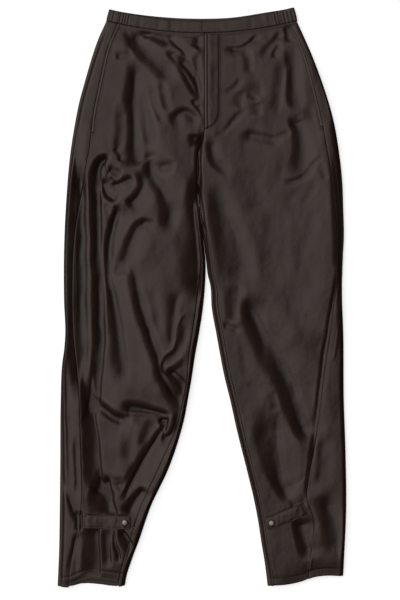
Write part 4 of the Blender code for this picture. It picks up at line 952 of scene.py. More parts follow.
def back_sheet(leg):
    """A back panel, from outseam round under the leg to inseam. Above the crotch it ends flat at
    the centre back, and below it rises and rolls over at the inseam."""
    strips, bends, floors = 20, 8, 10  # columns on top, round a rim and on the surface
    past_bend = strips // 2
    row = leg_rows(leg)[:, None]
    apart = legs_apart(row)
    inner = inner_edge(leg, row)
    seam = along(leg.outseam, row) + leg.out * SEAM_GAP / 2
    bend = along(leg.outer, row) - leg.out * RIM_RADIUS
    flat_bend = inner + leg.out * FLAT_INNER
    floor_end = flat_bend + (inner + leg.out * RIM_RADIUS - flat_bend) * apart

    turn, past, rolled = inseam_roll(leg, row)
    arc = np.linspace(0, 1, bends + 1)[1:]
    angle = turn * np.concatenate([arc, np.ones(past_bend)])[None, :]
    straight = past * np.concatenate([0 * arc, np.linspace(0, 1, past_bend + 1)[1:]])[None, :]
    rolled_in = RIM_RADIUS * (1 - np.sin(angle)) - straight * np.cos(angle)
    rolled_up = RIM_RADIUS * (1 - np.cos(angle)) + straight * np.sin(angle)
    count = angle.shape[1]
    flat_in = FLAT_INNER + (SEAM_GAP / 2 - FLAT_INNER) * np.arange(1, count + 1)[None, :] / count
    round_inner = inner + leg.out * (flat_in + (rolled_in - flat_in) * apart)

    outer_angle = np.linspace(0.5, -0.5, bends + 1)[None, 1:-1] * math.pi
    outer_strip = seam + (bend - seam) * near_ends(0, 1, strips, COLUMN_CROWDING)[None, :]
    outer_bend = bend + leg.out * RIM_RADIUS * np.cos(outer_angle)
    floor = bend + (floor_end - bend) * np.linspace(0, 1, floors)[None, :]
    x = np.concatenate([outer_strip, outer_bend, floor, round_inner], axis=1)
    under = strips + outer_bend.shape[1]
    past_floor = under + floors
    lift = BACK_WAIST_LIFT * (1 - (x / HALF_WAIST) ** 2)
    lift[:, :under] = 0
    y = follow_ends(leg, x, row, leg.back_hem, lift)

    top = top_height(leg, x, y)
    z = np.zeros(x.shape)
    z[:, :strips] = top[:, :strips]
    seat = top[:, strips - 1 : strips] - RIM_HEIGHT
    z[:, strips:under] = (
        RIM_RADIUS * (1 + np.sin(outer_angle)) + seat * (1 + np.sin(outer_angle)) / 2)
    z[:, past_floor:] = rolled_up * apart
    over = slice(past_floor + bends, None)
    z[:, over] += (top[:, over] - RIM_HEIGHT) * rolled
    outer = np.stack([x, y, z], axis=-1)
    out = grid_out(outer, under + floors // 2, -1)
    out[:, under:past_floor] = (0, 0, -1)
    return outer, outer - out * wall_of(row)


def band_edges(x, lift=0.0):
    """Lower and upper edge of the band at each place along it."""
    slope = 2 * BAND_FOOT_RISE * x / HALF_WAIST**2
    width = BAND_WIDTH + BAND_EXTRA * blend(x, *BAND_WIDENS)
    length = np.hypot(1, slope)
    foot = np.stack([x, band_foot(x) + lift], axis=-1)
    return foot, foot + np.stack([-slope, 0 * x + 1], axis=-1) * (width / length)[..., None]


def gathers(x):
    """How far the elastic makes the band ripple, stronger towards the side."""
    depth = GATHER_DEPTH * blend(np.abs(x), GATHER_START, GATHER_START + GATHER_GROWTH)
    phase = x / GATHER_PITCH + drift(GATHER_SHIFT, x, 0 * x)
    puckered = drift(BAND_PUCKER, x, 0 * x) * blend(np.abs(x), 0, SMOOTH_CENTRE)
    uneven = 1 + drift(GATHER_UNEVEN, x, 0 * x)
    return depth * uneven * np.sin(phase * 2 * math.pi) + puckered


def band_strip(x, z, out_x, out_z, lift, ripple):
    """A piece of waistband whose section along it is x and z, and whose outside faces out."""
    foot, head = band_edges(x, lift)
    share = np.linspace(0, 1, BAND_ROWS)[:, None]
    flat = foot + (head - foot) * share[..., None]
    spread = np.zeros((BAND_ROWS, len(x)))
    out = np.stack([out_x + spread, spread, out_z + spread], axis=-1)
    plain = np.concatenate([flat, (z + spread)[..., None]], axis=-1)
    rounded = BAND_CROWN * (4 * share * (1 - share)) ** BAND_FULLNESS
    crown = rounded * (out_z > BAND_UNDERNEATH)
    wave = drift(BAND_WAVE, flat[..., 0], flat[..., 1]) * (out_z > BAND_ON_TOP)
    at_edges, in_middle = GATHER_SHARES
    fold = ripple * (at_edges + in_middle * np.sin(share * math.pi))
    return plain + out * (crown + wave + fold)[..., None], plain - out * DOUBLE


def front_band(name):
    """A front piece of the band, from the side seam to the centre front."""
    side = SIDE_SEAM[name]
    reach = np.linspace(SEAM_GAP / 2, abs(side - BAND_SPLIT) - SEAM_GAP / 2, BAND_COLUMNS)
    x = side - np.sign(side) * reach
    return band_strip(x, BAND_HEIGHT + 0 * x, 0 * x, 1 + 0 * x, 0, gathers(x))


def back_band():
    """The back of the band: flat behind, and round both sides to the side seams."""
    radius = BAND_HEIGHT / 2
    corner = HALF_WAIST - radius
    turns = np.linspace(0.25, -0.25, BAND_TURN_COLUMNS + 2)[1:-1] * 2 * math.pi
    pieces = []
    for sign, side in zip((-1, 1), SIDE_SEAM.values()):
        top = np.linspace(abs(side) + SEAM_GAP / 2, corner, BAND_SIDE_COLUMNS)
        x = sign * np.concatenate([top, corner + radius * np.cos(turns)])
        z = np.concatenate([BAND_HEIGHT + 0 * top, radius + radius * np.sin(turns)])
        out_x = sign * np.concatenate([0 * top, np.cos(turns)])
        out_z = np.concatenate([1 + 0 * top, np.sin(turns)])
        pieces.append((x, z, out_x, out_z))
    behind = np.linspace(-corner, corner, BAND_BACK_COLUMNS)
    floor = (behind, 0 * behind, 0 * behind, -1 + 0 * behind)
    left_end = tuple(values[::-1] for values in pieces[1])
    x, z, out_x, out_z = (np.concatenate(parts) for parts in zip(pieces[0], floor, left_end))
    lift = np.where(z == 0, BACK_WAIST_LIFT * (1 - (x / HALF_WAIST) ** 2), 0)
    ripple = np.where(z > 0, gathers(x), 0) * blend(z, 1, BAND_HEIGHT)
    return band_strip(x, z, out_x, out_z, lift, ripple)


def pocket_edge_sheet(leg):
    """The raised, folded edge of a pocket opening."""
    row = leg_rows(leg)
    row = row[row > POCKET_END[leg.name]][:, None]
    start = along(leg.outseam, row) - leg.out * SEAM_GAP / 2
    share = np.linspace(0, 1, POCKET_EDGE_COLUMNS)[None, :]
    x = start - leg.out * POCKET_EDGE_WIDTH * share
    y = follow_ends(leg, x, row, leg.front_hem)
    lean = share if leg is RIGHT else 1 - share  # both stand higher on the wearer's left
    round_top = np.sqrt(np.clip(4 * share * (1 - share), 0, 1))
    over_sink = SEAM_SINK * hump(share * POCKET_EDGE_WIDTH, SEAM_SINK_WIDTH)
    base = on_top(leg, x, y, SEAM_GAP + over_sink)
    least, middle, high_side = POCKET_EDGE_WALL
    return raised(base, SINGLE * (least + middle * round_top + high_side * lean)), base


def fly_sheet():
    """The lapped edge of the left front: a rounded fold, then flat leather over the zip."""
    y = np.linspace(FLY_TOP, FLY_END, FLY_ROWS)[:, None]
    to_end = np.clip((y - FLY_END) / FLY_CURVE, 0, 1)
    width = FLY_WIDTH * np.sqrt(np.clip(1 - (1 - to_end) ** 2, FLY_TIP, 1))
    across = width * near_ends(0, 1, FLY_COLUMNS, FLY_CROWDING)[None, :]
    x = inner_edge(LEFT, y) + SEAM_GAP / 2 + across
    from_edge = width - across
    flat = FLY_FLAT * blend(from_edge, 0, FLY_FLAT_REACH)
    fold = FLY_FOLD_HEIGHT * np.clip(across / FLY_FOLD, 0, 1)
    fold = fold * (1 - blend(across, FLY_FOLD, FLY_FOLD_END))
    over_zip = FLY_ZIP.over(across) * (1 + drift(ZIP_UNEVEN, x, y))
    over_zip = over_zip * blend(from_edge, *ZIP_FADE)
    rise = flat + fold + FLY_GROOVE.over(across) + FLY_FURROW.over(from_edge) + over_zip
    lie = on_top(LEFT, x, y, FLY_LIFT)
    return raised(lie, np.maximum(rise, FLY_THINNEST)), lie


def strap_height(strap, share):
    """Height of the leather under the middle of a strap, at shares of the way to its tip."""
    root, run, _ = strap_frame(strap)
    middle = root + run * share[..., None]
    return top_height(strap.leg, middle[..., 0], middle[..., 1])


def strap_sheet(strap):
    """A doubled strap with a softly crumpled face and rounded corners at its free end."""
    root, run, across = strap_frame(strap)
    length = np.linalg.norm(run)
    down = np.linspace(0, 1, STRAP_ROWS)[:, None]
    side = near_ends(-0.5, 0.5, STRAP_COLUMNS, STRAP_CROWDING)[None, :]
    from_arc = STRAP_CORNER - np.clip((1 - down) * length, 0, STRAP_CORNER)
    cut = STRAP_CORNER - np.sqrt(np.clip(STRAP_CORNER**2 - from_arc**2, 0, None))
    half = strap.width / 2 - cut
    flat = root + run * down[..., None] + across * (2 * side * half)[..., None]
    x, y = flat[..., 0], flat[..., 1]
    crumple = sum(drift(kind, x, y) for kind in STRAP_CRUMPLE)
    rim = np.abs(side) * 2
    crown = STRAP_CROWN * (1 - rim**3) + crumple * (1 - rim**4)
    base = np.stack([x, y, strap_height(strap, down) + LYING_GAP + 0 * x], axis=-1)
    rise = DOUBLE + crown + STRAP_FURROW.over(rim) + STRAP_TUCK.over(down * length)
    return raised(base, rise), base


# Meshes.


def boundary(rows, columns):
    """Indices round the edge of a grid, in order."""
    top = [(0, column) for column in range(columns - 1)]
    right = [(row, columns - 1) for row in range(rows - 1)]
    bottom = [(rows - 1, column) for column in range(columns - 1, 0, -1)]
    left = [(row, 0) for row in range(rows - 1, 0, -1)]
    return np.array(top + right + bottom + left)


def grid_faces(rows, columns):
    """The four corners of each face of a grid."""
    index = np.arange(rows * columns).reshape(rows, columns)
    corners = (index[:-1, :-1], index[:-1, 1:], index[1:, 1:], index[1:, :-1])
    return np.stack([corner.ravel() for corner in corners], axis=1)


def painted_shade_share(outer):
    """From 0 in a valley to 1 on a crest: how far each point stands over its surroundings, which
    sets how much shade is painted into the leather's colour there.
    """
    around = height = outer[..., 2]
    for _ in range(PAINTED_SHADE_ROUNDS):
        padded = np.pad(around, 1, mode="edge")
        around = (padded[:-2, 1:-1] + padded[2:, 1:-1]
                  + padded[1:-1, :-2] + padded[1:-1, 2:]) / 4
    return np.clip(0.5 + (height - around) / PAINTED_SHADE_SPREAD, 0, 1)


def add_piece(name, mesh, material, node):
    """Put a finished mesh in the scene, riding on the garment and standing for its solid."""
    mesh.materials.append(material)
    piece = bpy.data.objects.new(name, mesh)
    bpy.context.scene.collection.objects.link(piece)
    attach(piece, "root")
    if node:
        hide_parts(node)
    return piece


def wall_mesh(name, outer, inner):
    """A closed wall between two grids of points, with a rounded edge all round."""
    rows, columns = outer.shape[:2]
    under = rows * columns
    edge = boundary(rows, columns)
    inward = np.clip(edge, 1, [[rows - 2, columns - 2]])
    rim_outer = outer[edge[:, 0], edge[:, 1]]
    rim_inner = inner[edge[:, 0], edge[:, 1]]
    away = rim_outer - outer[inward[:, 0], inward[:, 1]]
    away /= np.linalg.norm(away, axis=1, keepdims=True) + TINY
    wall = np.linalg.norm(rim_outer - rim_inner, axis=1, keepdims=True)
    bulge = (rim_outer + rim_inner) / 2 + away * np.minimum(wall * BULGE_SHARE, BULGE_LIMIT)
    points = np.concatenate([outer.reshape(-1, 3), inner.reshape(-1, 3), bulge]) * MM

    faces = grid_faces(rows, columns)
    ring = edge[:, 0] * columns + edge[:, 1]
    after = np.roll(ring, -1)
    middle = 2 * under + np.arange(len(ring))
    next_middle = np.roll(middle, -1)
    upper_rim = np.stack([after, ring, middle, next_middle], axis=1)
    lower_rim = np.stack([next_middle, middle, ring + under, after + under], axis=1)
    faces = np.concatenate([faces, faces[:, ::-1] + under, upper_rim, lower_rim])
    row, column = rows // 2, columns // 2
    here = outer[row, column]
    facing = np.cross(outer[row, column + 1] - here, outer[row + 1, column] - here)
    if facing @ (here - inner[row, column]) < 0:
        faces = faces[:, ::-1]

    mesh = bpy.data.meshes.new(name)
    mesh.from_pydata(points.tolist(), [], faces.tolist())
    mesh.shade_smooth()
    # Painted shade: each point of the outer face gets how far it stands over its surroundings,
    # which darkens valleys and lightens crests in the leather's colour; the inner face and the rim
    # get the middle value.
    shade_and_wear = mesh.attributes.new("shade_and_wear", "FLOAT", "POINT")
    level = np.full(len(points), 0.5, np.float32)
    level[:under] = painted_shade_share(outer).ravel()
    shade_and_wear.data.foreach_set("value", level)
    return mesh


# Materials.


def linear(code):
    """A colour written as sRGB hex, as linear red, green, blue and alpha."""
    values = [int(code[place : place + 2], 16) / 255 for place in (1, 3, 5)]
    return (*[v / 12.92 if v <= 0.04045 else ((v + 0.055) / 1.055) ** 2.4 for v in values], 1.0)


def add_node(tree, kind, inputs=None, **settings):
    """Add a node, set its settings, and set or link its inputs by name or place."""
    node = tree.nodes.new(kind)
    for name, value in settings.items():
        setattr(node, name, value)
    for key, value in (inputs or {}).items():
        if isinstance(value, bpy.types.NodeSocket):
            tree.links.new(value, node.inputs[key])
        else:
            node.inputs[key].default_value = value
    return node


def new_material(name):
    """A material with its node tree, its shader, and the object's own coordinates."""
    material = bpy.data.materials.new(name)
    material.use_nodes = True
    tree = material.node_tree
    tree.nodes.clear()
    shader = add_node(tree, "ShaderNodeBsdfPrincipled")
    output = add_node(tree, "ShaderNodeOutputMaterial")
    tree.links.new(shader.outputs[0], output.inputs["Surface"])
    return material, tree, shader, add_node(tree, "ShaderNodeTexCoord").outputs["Object"]


def noise(tree, place, size_mm, detail, roughness=0.5):
    """Cloudy values in patches of about this many millimetres."""
    return add_node(tree, "ShaderNodeTexNoise", {
        "Vector": place, "Scale": 1000.0 / size_mm, "Detail": detail,
        "Roughness": roughness}).outputs["Fac"]


def dye(tree, shader, share, first, second):
    """Colour a shader with a mix of two sRGB hex colours."""
    mix = add_node(tree, "ShaderNodeMix", {
        "Factor": share, 6: linear(first), 7: linear(second)}, data_type="RGBA")
    tree.links.new(mix.outputs[2], shader.inputs["Base Color"])


def gloss(tree, shader, value, lowest, highest, roughness_range):
    """Let a shader's roughness follow a value from its lowest to its highest."""
    spread = add_node(tree, "ShaderNodeMapRange", {
        "Value": value, "From Min": lowest, "From Max": highest,
        "To Min": roughness_range[0], "To Max": roughness_range[1]})
    tree.links.new(spread.outputs[0], shader.inputs["Roughness"])


def relief(tree, height, strength, depth, **over):
    """A normal tilted by a height, over another normal if one is given."""
    return add_node(tree, "ShaderNodeBump", {
        "Strength": strength, "Distance": depth, "Height": height, **over}).outputs[0]


def nappa(name, valley_shade_colour, crest_wear_and_highlight_colour, roughness):
    """Aniline-dyed nappa, drum-softened and lightly waxed: a close pebbled grain, and shade painted
    into its colour, darker in the valleys of its folds and paler on their crests, which is part
    rubbed wear and part painted highlight."""
    material, tree, shader, place = new_material(name)
    shade_and_wear = add_node(tree, "ShaderNodeAttribute", attribute_name="shade_and_wear").outputs["Fac"]
    mottle = noise(tree, place, 34, 5.0, 0.6)
    pebble = add_node(tree, "ShaderNodeTexVoronoi", {
        "Vector": place, "Scale": 1000.0 / 1.5, "Randomness": 1.0}, feature="SMOOTH_F1")
    crease = noise(tree, place, 9, 4.0, 0.62)
    patchy = add_node(tree, "ShaderNodeMath", {0: mottle, 1: 0.3}, operation="MULTIPLY")
    # Painted shade: the colour runs from the dark dye in the valleys to the pale one on the crests,
    # with random mottle on top.
    shade_wear_and_mottle = add_node(tree, "ShaderNodeMath", {
        0: shade_and_wear, 1: 0.7, 2: patchy.outputs[0]}, operation="MULTIPLY_ADD")
    dye(tree, shader, shade_wear_and_mottle.outputs[0], valley_shade_colour, crest_wear_and_highlight_colour)
    gloss(tree, shader, mottle, 0.3, 0.7, (roughness - 0.05, roughness + 0.05))
    shader.inputs["IOR"].default_value = 1.48
    shader.inputs["Specular Tint"].default_value = (1.0, 0.88, 0.83, 1.0)
    grain = relief(tree, pebble.outputs["Distance"], 0.35, 0.00022)
    tree.links.new(relief(tree, crease, 0.5, 0.0009, Normal=grain), shader.inputs["Normal"])
    return material


def thread(name, colour):
    """Bonded polyester thread, twisted: matt, with a faint ribbing along it."""
    material, tree, shader, place = new_material(name)
    twist = noise(tree, place, 0.8, 2.0)
    dye(tree, shader, twist, colour, "#54423a")
    shader.inputs["Roughness"].default_value = 0.62
    tree.links.new(relief(tree, twist, 0.4, 0.0001), shader.inputs["Normal"])
    return material


def snap_metal(name, colour):
    """Brass cap with gunmetal plating, tumbled: satin, slightly clouded, bright on the dome."""
    material, tree, shader, place = new_material(name)
    cloud = noise(tree, place, 2.5, 6.0, 0.7)
    dye(tree, shader, cloud, colour, "#9c948d")
    shader.inputs["Metallic"].default_value = 1.0
    gloss(tree, shader, cloud, 0.0, 1.0, (0.22, 0.42))
    return material


def paper(name, colour):
    """Matt white background paper, faintly mottled."""
    material, tree, shader, place = new_material(name)
    dye(tree, shader, noise(tree, place, 60, 3.0), colour, "#ffffff")
    shader.inputs["Roughness"].default_value = 0.9
    shader.inputs["Specular IOR Level"].default_value = 0.0
    shader.inputs["Emission Color"].default_value = linear("#ffffff")
    shader.inputs["Emission Strength"].default_value = 0.6
    return material


# Stitching.


def stitch_tree():
    """Geometry nodes that lay one small thread bead after another along every curve."""
    tree = bpy.data.node_groups.new("stitch_rows", "GeometryNodeTree")
    face = tree.interface
    face.new_socket("Path", in_out="INPUT", socket_type="NodeSocketGeometry")
    for name in ("Pitch", "Length", "Thickness"):
        face.new_socket(name, in_out="INPUT", socket_type="NodeSocketFloat")
    face.new_socket("Thread", in_out="INPUT", socket_type="NodeSocketMaterial")
    face.new_socket("Stitches", in_out="OUTPUT", socket_type="NodeSocketGeometry")
    given = add_node(tree, "NodeGroupInput").outputs
    points = add_node(tree, "GeometryNodeCurveToPoints", {
        "Curve": given["Path"], "Length": given["Pitch"]}, mode="LENGTH")
    turn = add_node(tree, "FunctionNodeAlignRotationToVector", {
        "Vector": points.outputs["Tangent"]}, axis="X")
    bead = add_node(tree, "GeometryNodeMeshUVSphere", {"Segments": 6, "Rings": 5, "Radius": 0.5})
    size = add_node(tree, "ShaderNodeCombineXYZ", {
        "X": given["Length"], "Y": given["Thickness"], "Z": given["Thickness"]})
    laid = add_node(tree, "GeometryNodeInstanceOnPoints", {
        "Points": points.outputs["Points"], "Instance": bead.outputs["Mesh"],
        "Rotation": turn.outputs["Rotation"], "Scale": size.outputs[0]})
    real = add_node(tree, "GeometryNodeRealizeInstances", {"Geometry": laid.outputs[0]})
    smooth = add_node(tree, "GeometryNodeSetShadeSmooth", {0: real.outputs[0]})
    dyed = add_node(tree, "GeometryNodeSetMaterial", {
        "Geometry": smooth.outputs[0], "Material": given["Thread"]})
    out = add_node(tree, "NodeGroupOutput")
    tree.links.new(dyed.outputs[0], out.inputs["Stitches"])
    return tree


def stitch_rows(name, paths, pitch, length, thickness, slot):
    """One mesh of stitches along several paths of points."""
    curve = bpy.data.curves.new(name + "_path", "CURVE")
    curve.dimensions = "3D"
    for path in paths:
        spline = curve.splines.new("POLY")
        spline.points.add(len(path) - 1)
        flat = np.concatenate([path * MM, np.ones((len(path), 1))], axis=1)
        spline.points.foreach_set("co", flat.ravel())
    guide = bpy.data.objects.new(name + "_path", curve)
    bpy.context.scene.collection.objects.link(guide)
    material = thread_material()
    tree = bpy.data.node_groups.get("stitch_rows") or stitch_tree()
    nodes = guide.modifiers.new("stitches", "NODES")
    nodes.node_group = tree
    given = {
        "Pitch": pitch * MM, "Length": length * MM, "Thickness": thickness * MM,
        "Thread": material}
    for item in tree.interface.items_tree:
        if item.item_type == "SOCKET" and item.name in given:
            nodes[item.identifier] = given[item.name]
    bpy.context.view_layer.update()
    graph = bpy.context.evaluated_depsgraph_get()
    mesh = bpy.data.meshes.new_from_object(guide.evaluated_get(graph), depsgraph=graph)
    mesh.name = name
    bpy.data.objects.remove(guide)
    if not mesh.polygons:
        raise RuntimeError(name + " has no stitches")
    mesh.materials.clear()
    return add_piece(name, mesh, material, None)


# Topstitching beside seams: the seam, its leg, how far onto the front panel, and the highest
# stitch.
SEAM_STITCHES = (
    ("inseam", LEFT, SEAM_STITCH, 90),
    ("inseam", RIGHT, SEAM_STITCH, 90),
    ("outseam", LEFT, -8, 480),
    ("outseam", LEFT, SEAM_STITCH, 290),
    ("outseam", RIGHT, SEAM_STITCH, 280),
)
SEAM_STITCHES_END = -500


def beside_seam(seam, leg, inward, high, low):
    """A row of stitches beside the outseam or the inseam of a leg: inward is positive on the
    front panel."""
    y = np.arange(high, low, -STITCH_STEP)
    if seam == "outseam":
        x = along(leg.outseam, y) - leg.out * inward
    else:
        x = inner_edge(leg, y) + leg.out * (front_inset(leg, y) + inward)
    return on_top(leg, x, y, THREAD_LIFT)


def hem_path(leg, up):
    """A row of stitches round the top of a hem, across back strip and front panel."""
    low = along(leg.outer, HEM_SIDES[0]) - leg.out * HEM_STITCH_INSET
    high = along(leg.inner, HEM_SIDES[1]) + leg.out * HEM_STITCH_INSET
    x = np.linspace(low, high, HEM_STITCH_POINTS)
    return on_top(leg, x, along(leg.front_hem, x) + up, THREAD_LIFT)


def band_path(name, share):
    """A row of stitches along a front piece of the waistband, near one of its edges."""
    outer, _ = front_band(name)
    place = share * (outer.shape[0] - 1)
    row = int(place)
    points = outer[row] + (outer[row + 1] - outer[row]) * (place - row)
    return points + np.array([0, 0, BAND_THREAD_LIFT])


def fly_path(inset):
    """The J of stitches that closes the fly, inset from the placket's edge."""
    outer, _ = fly_sheet()
    near, far = outer[:, 0], outer[:, -1]
    way = (near - far) / np.linalg.norm(near - far, axis=1, keepdims=True)
    return (far + way * inset)[FLY_STITCH_START:] + np.array([0, 0, FLY_THREAD_LIFT])


def strap_path(strap, inset):
    """Stitches along both sides of a strap and across its free end."""
    root, run, across = strap_frame(strap)
    length = np.linalg.norm(run)
    half = across * (strap.width / 2 - inset)
    end = root + run * ((length - inset) / length)
    corners = [root + half, end + half, end - half, root - half]
    sides = [
        np.linspace(start, stop, STRAP_STITCH_POINTS)
        for start, stop in zip(corners, corners[1:])]
    flat = np.concatenate(sides)
    share = (flat - root) @ run / length**2
    height = strap_height(strap, share) + LYING_GAP + DOUBLE + STRAP_THREAD_LIFT
    return np.concatenate([flat, height[:, None]], axis=1)


def bartack(leg, end):
    """A short, dense run of stitches that stops a pocket from tearing at its end."""
    run = np.linspace(-0.5, 0.5, BARTACK_POINTS) * BARTACK_LENGTH
    x = along(leg.outseam, end) - leg.out * BARTACK_INSET + run * math.cos(BARTACK_TURN)
    y = end - BARTACK_INSET + run * math.sin(BARTACK_TURN)
    return on_top(leg, x, y, BARTACK_LIFT)


def snap_cap(name, strap):
    """A domed cap with a rolled rim, turned about its axis and set on its strap."""
    build = bmesh.new()
    points = [
        build.verts.new((across * SNAP_RADIUS * MM, 0, up * SNAP_HEIGHT * MM))
        for across, up in SNAP_SECTION]
    edges = [build.edges.new(pair) for pair in zip(points, points[1:])]
    bmesh.ops.spin(build, geom=points + edges, cent=(0, 0, 0), axis=(0, 0, 1),
                   angle=2 * math.pi, steps=SNAP_STEPS, use_merge=True)
    bmesh.ops.remove_doubles(build, verts=build.verts[:], dist=1e-6)
    bmesh.ops.recalc_face_normals(build, faces=build.faces[:])

    def leather(east, north):
        x, y = (np.array([value], float) for value in strap.snap)
        return top_height(strap.leg, x + east, y + north)[0]

    reach = SNAP_SLOPE_REACH
    slope_x = (leather(reach, 0) - leather(-reach, 0)) / (2 * reach)
    slope_y = (leather(0, reach) - leather(0, -reach)) / (2 * reach)
    turn = Vector((-slope_x, -slope_y, 1)).normalized().to_track_quat("Z", "Y").to_matrix()
    place = Vector((*strap.snap, leather(0, 0) + LYING_GAP + DOUBLE + SNAP_LIFT)) * MM
    for vert in build.verts:
        vert.co = turn @ vert.co + place
    mesh = bpy.data.meshes.new(name)
    build.to_mesh(mesh)
    build.free()
    mesh.shade_smooth()
    return mesh


# The settings that a user would change.


class TrousersSettings(bpy.types.PropertyGroup):
    """Sizes and colours of the trousers."""

    # The darker dye is the painted shade in the valleys of the folds; the crest dye is part rubbed
    # wear and part painted highlight.
    leather: bpy.props.StringProperty(
        name="Leather", description="Darker dye of the leather, sRGB hex", default="#1d120f")
    leather_crest_wear_and_highlight: bpy.props.StringProperty(
        name="Leather, crests", description="Dye where folds are rubbed, sRGB hex",
        default="#3b2a24")
    leather_roughness: bpy.props.FloatProperty(
        name="Leather roughness", description="Surface roughness of the nappa",
        default=0.33, min=0.0, max=1.0)
    thread_colour: bpy.props.StringProperty(
        name="Thread", description="Sewing thread, sRGB hex", default="#43332c")
    metal: bpy.props.StringProperty(
        name="Snap metal", description="Plating of the snap caps, sRGB hex", default="#6f6661")
    stitch_pitch: bpy.props.FloatProperty(
        name="Stitch pitch", description="From one stitch to the next",
        default=0.0032, unit="LENGTH")
    thread_thickness: bpy.props.FloatProperty(
        name="Thread thickness", description="Thickness of the thread",
        default=0.0007, unit="LENGTH")
    sky: bpy.props.FloatProperty(
        name="Softbox", description="Brightness of the overhead softbox", default=1.38, min=0.0)


def settings():
    """The user's settings in this scene."""
    return bpy.context.scene.trousers


def leather_material():
    """The nappa, made the first time that it is asked for."""
    own = settings()
    return bpy.data.materials.get("nappa_leather") or nappa(
        "nappa_leather", own.leather, own.leather_crest_wear_and_highlight, own.leather_roughness)


def thread_material():
    """The thread, made the first time that it is asked for."""
    return bpy.data.materials.get("polyester_thread") or thread(
        "polyester_thread", settings().thread_colour)


def sew(name, paths, slot="nappa"):
    """Rows of ordinary stitches."""
    own = settings()
    stitch_rows(
        name, paths, own.stitch_pitch / MM, STITCH_LENGTH, own.thread_thickness / MM, slot)


def add_leather(node, sheet):
    """The leather of one solid, from the grids of its outer and inner points."""
    name = node + "_leather"
    return add_piece(name, wall_mesh(name, *sheet), leather_material(), node)


class TROUSERS_OT_fronts(bpy.types.Operator):
    """Make the two front panels, with the raised edges of their pocket openings"""

    bl_idname = "trousers.fronts"
    bl_label = "Front panels"

    def execute(self, context):
        for leg in LEGS.values():
            sheet = front_sheet(leg)
            piece = add_leather("front_" + leg.name, sheet)
            edge = add_leather("pocket_edge_" + leg.name, pocket_edge_sheet(leg))
        return {"FINISHED"}


class TROUSERS_OT_backs(bpy.types.Operator):
    """Make the two back panels, which wrap both sides of each leg"""

    bl_idname = "trousers.backs"
    bl_label = "Back panels"

    def execute(self, context):
        for leg in LEGS.values():
            sheet = back_sheet(leg)
            add_leather("back_" + leg.name, sheet)
        return {"FINISHED"}


class TROUSERS_OT_waistband(bpy.types.Operator):
    """Make the waistband, gathered at the sides, with its stitching"""

    bl_idname = "trousers.waistband"
    bl_label = "Waistband"

    def execute(self, context):
        for name, sheet, held in (
            ("front_right", front_band("right"), "laid"),
            ("front_left", front_band("left"), "laid"),
            ("back", back_band(), "gathered"),
        ):
            add_leather("waistband_" + name, sheet)
        rows = [band_path(name, share) for name in LEGS for share in BAND_STITCHES]
        sew("waistband_stitches", rows, "band")
        return {"FINISHED"}


class TROUSERS_OT_fly(bpy.types.Operator):
    """Make the fly placket and its J of stitches"""

    bl_idname = "trousers.fly"
    bl_label = "Fly"

    def execute(self, context):
        sheet = fly_sheet()
        piece = add_leather("fly_placket", sheet)
        sew("fly_stitches", [fly_path(FLY_STITCH)])
        return {"FINISHED"}


class TROUSERS_OT_pockets(bpy.types.Operator):
    """Sew the pocket openings and their bartacks"""

    bl_idname = "trousers.pockets"
    bl_label = "Pockets"

    def execute(self, context):
        rows = []
        tacks = []
        for leg in LEGS.values():
            end = POCKET_END[leg.name]
            low = end - POCKET_STITCH_PAST
            rows.append(beside_seam("outseam", leg, POCKET_STITCH, POCKET_STITCH_TOP, low))
            tacks.append(bartack(leg, end))
        sew("pocket_stitches", rows)
        stitch_rows("pocket_bartacks", tacks, *BARTACK_STITCH, "nappa")
        return {"FINISHED"}


class TROUSERS_OT_seams(bpy.types.Operator):
    """Sew the topstitching beside the seams and round the hems"""

    bl_idname = "trousers.seams"
    bl_label = "Seams and hems"

    def execute(self, context):
        sew("seam_stitches", [beside_seam(*row, SEAM_STITCHES_END) for row in SEAM_STITCHES])
        hems = []
        for leg in LEGS.values():
            up = HEM_STITCHES[leg.name]
            hems += [hem_path(leg, up), hem_path(leg, up - HEM_ROWS_APART)]
        sew("hem_stitches", hems)
        return {"FINISHED"}


class TROUSERS_OT_straps(bpy.types.Operator):
    """Make the ankle straps with their stitching and snap caps"""

    bl_idname = "trousers.straps"
    bl_label = "Straps and snaps"

    def execute(self, context):
        metal = snap_metal("gunmetal_plating", settings().metal)
        for strap in STRAPS:
            side = strap.leg.name
            sheet = strap_sheet(strap)
            piece = add_leather("strap_" + side, sheet)
            name = "snap_cap_" + side
            add_piece(name + "_metal", snap_cap(name + "_metal", strap), metal, name)
        sew("strap_stitches", [strap_path(strap, STRAP_STITCH) for strap in STRAPS], "band")
        return {"FINISHED"}


class TROUSERS_OT_stage(bpy.types.Operator):
    """Lay the white paper, light it from a large overhead softbox and place the camera"""

    bl_idname = "trousers.stage"
    bl_label = "Stage"

    def execute(self, context):
        scene = context.scene
        build = bmesh.new()
        bmesh.ops.create_grid(build, x_segments=1, y_segments=1, size=PAPER_HALF)
        mesh = bpy.data.meshes.new("paper")
        build.to_mesh(mesh)
        build.free()
        mesh.materials.append(paper("background_paper", "#f4f4f3"))
        floor = bpy.data.objects.new("paper", mesh)
        floor.location.z = -PAPER_DROP
        floor.visible_glossy = False
        floor.visible_diffuse = False
        scene.collection.objects.link(floor)
        light_world(scene, settings().sky)
        place_camera(scene)
        scene.view_settings.view_transform = "Standard"
        scene.view_settings.look = "None"
        return {"FINISHED"}


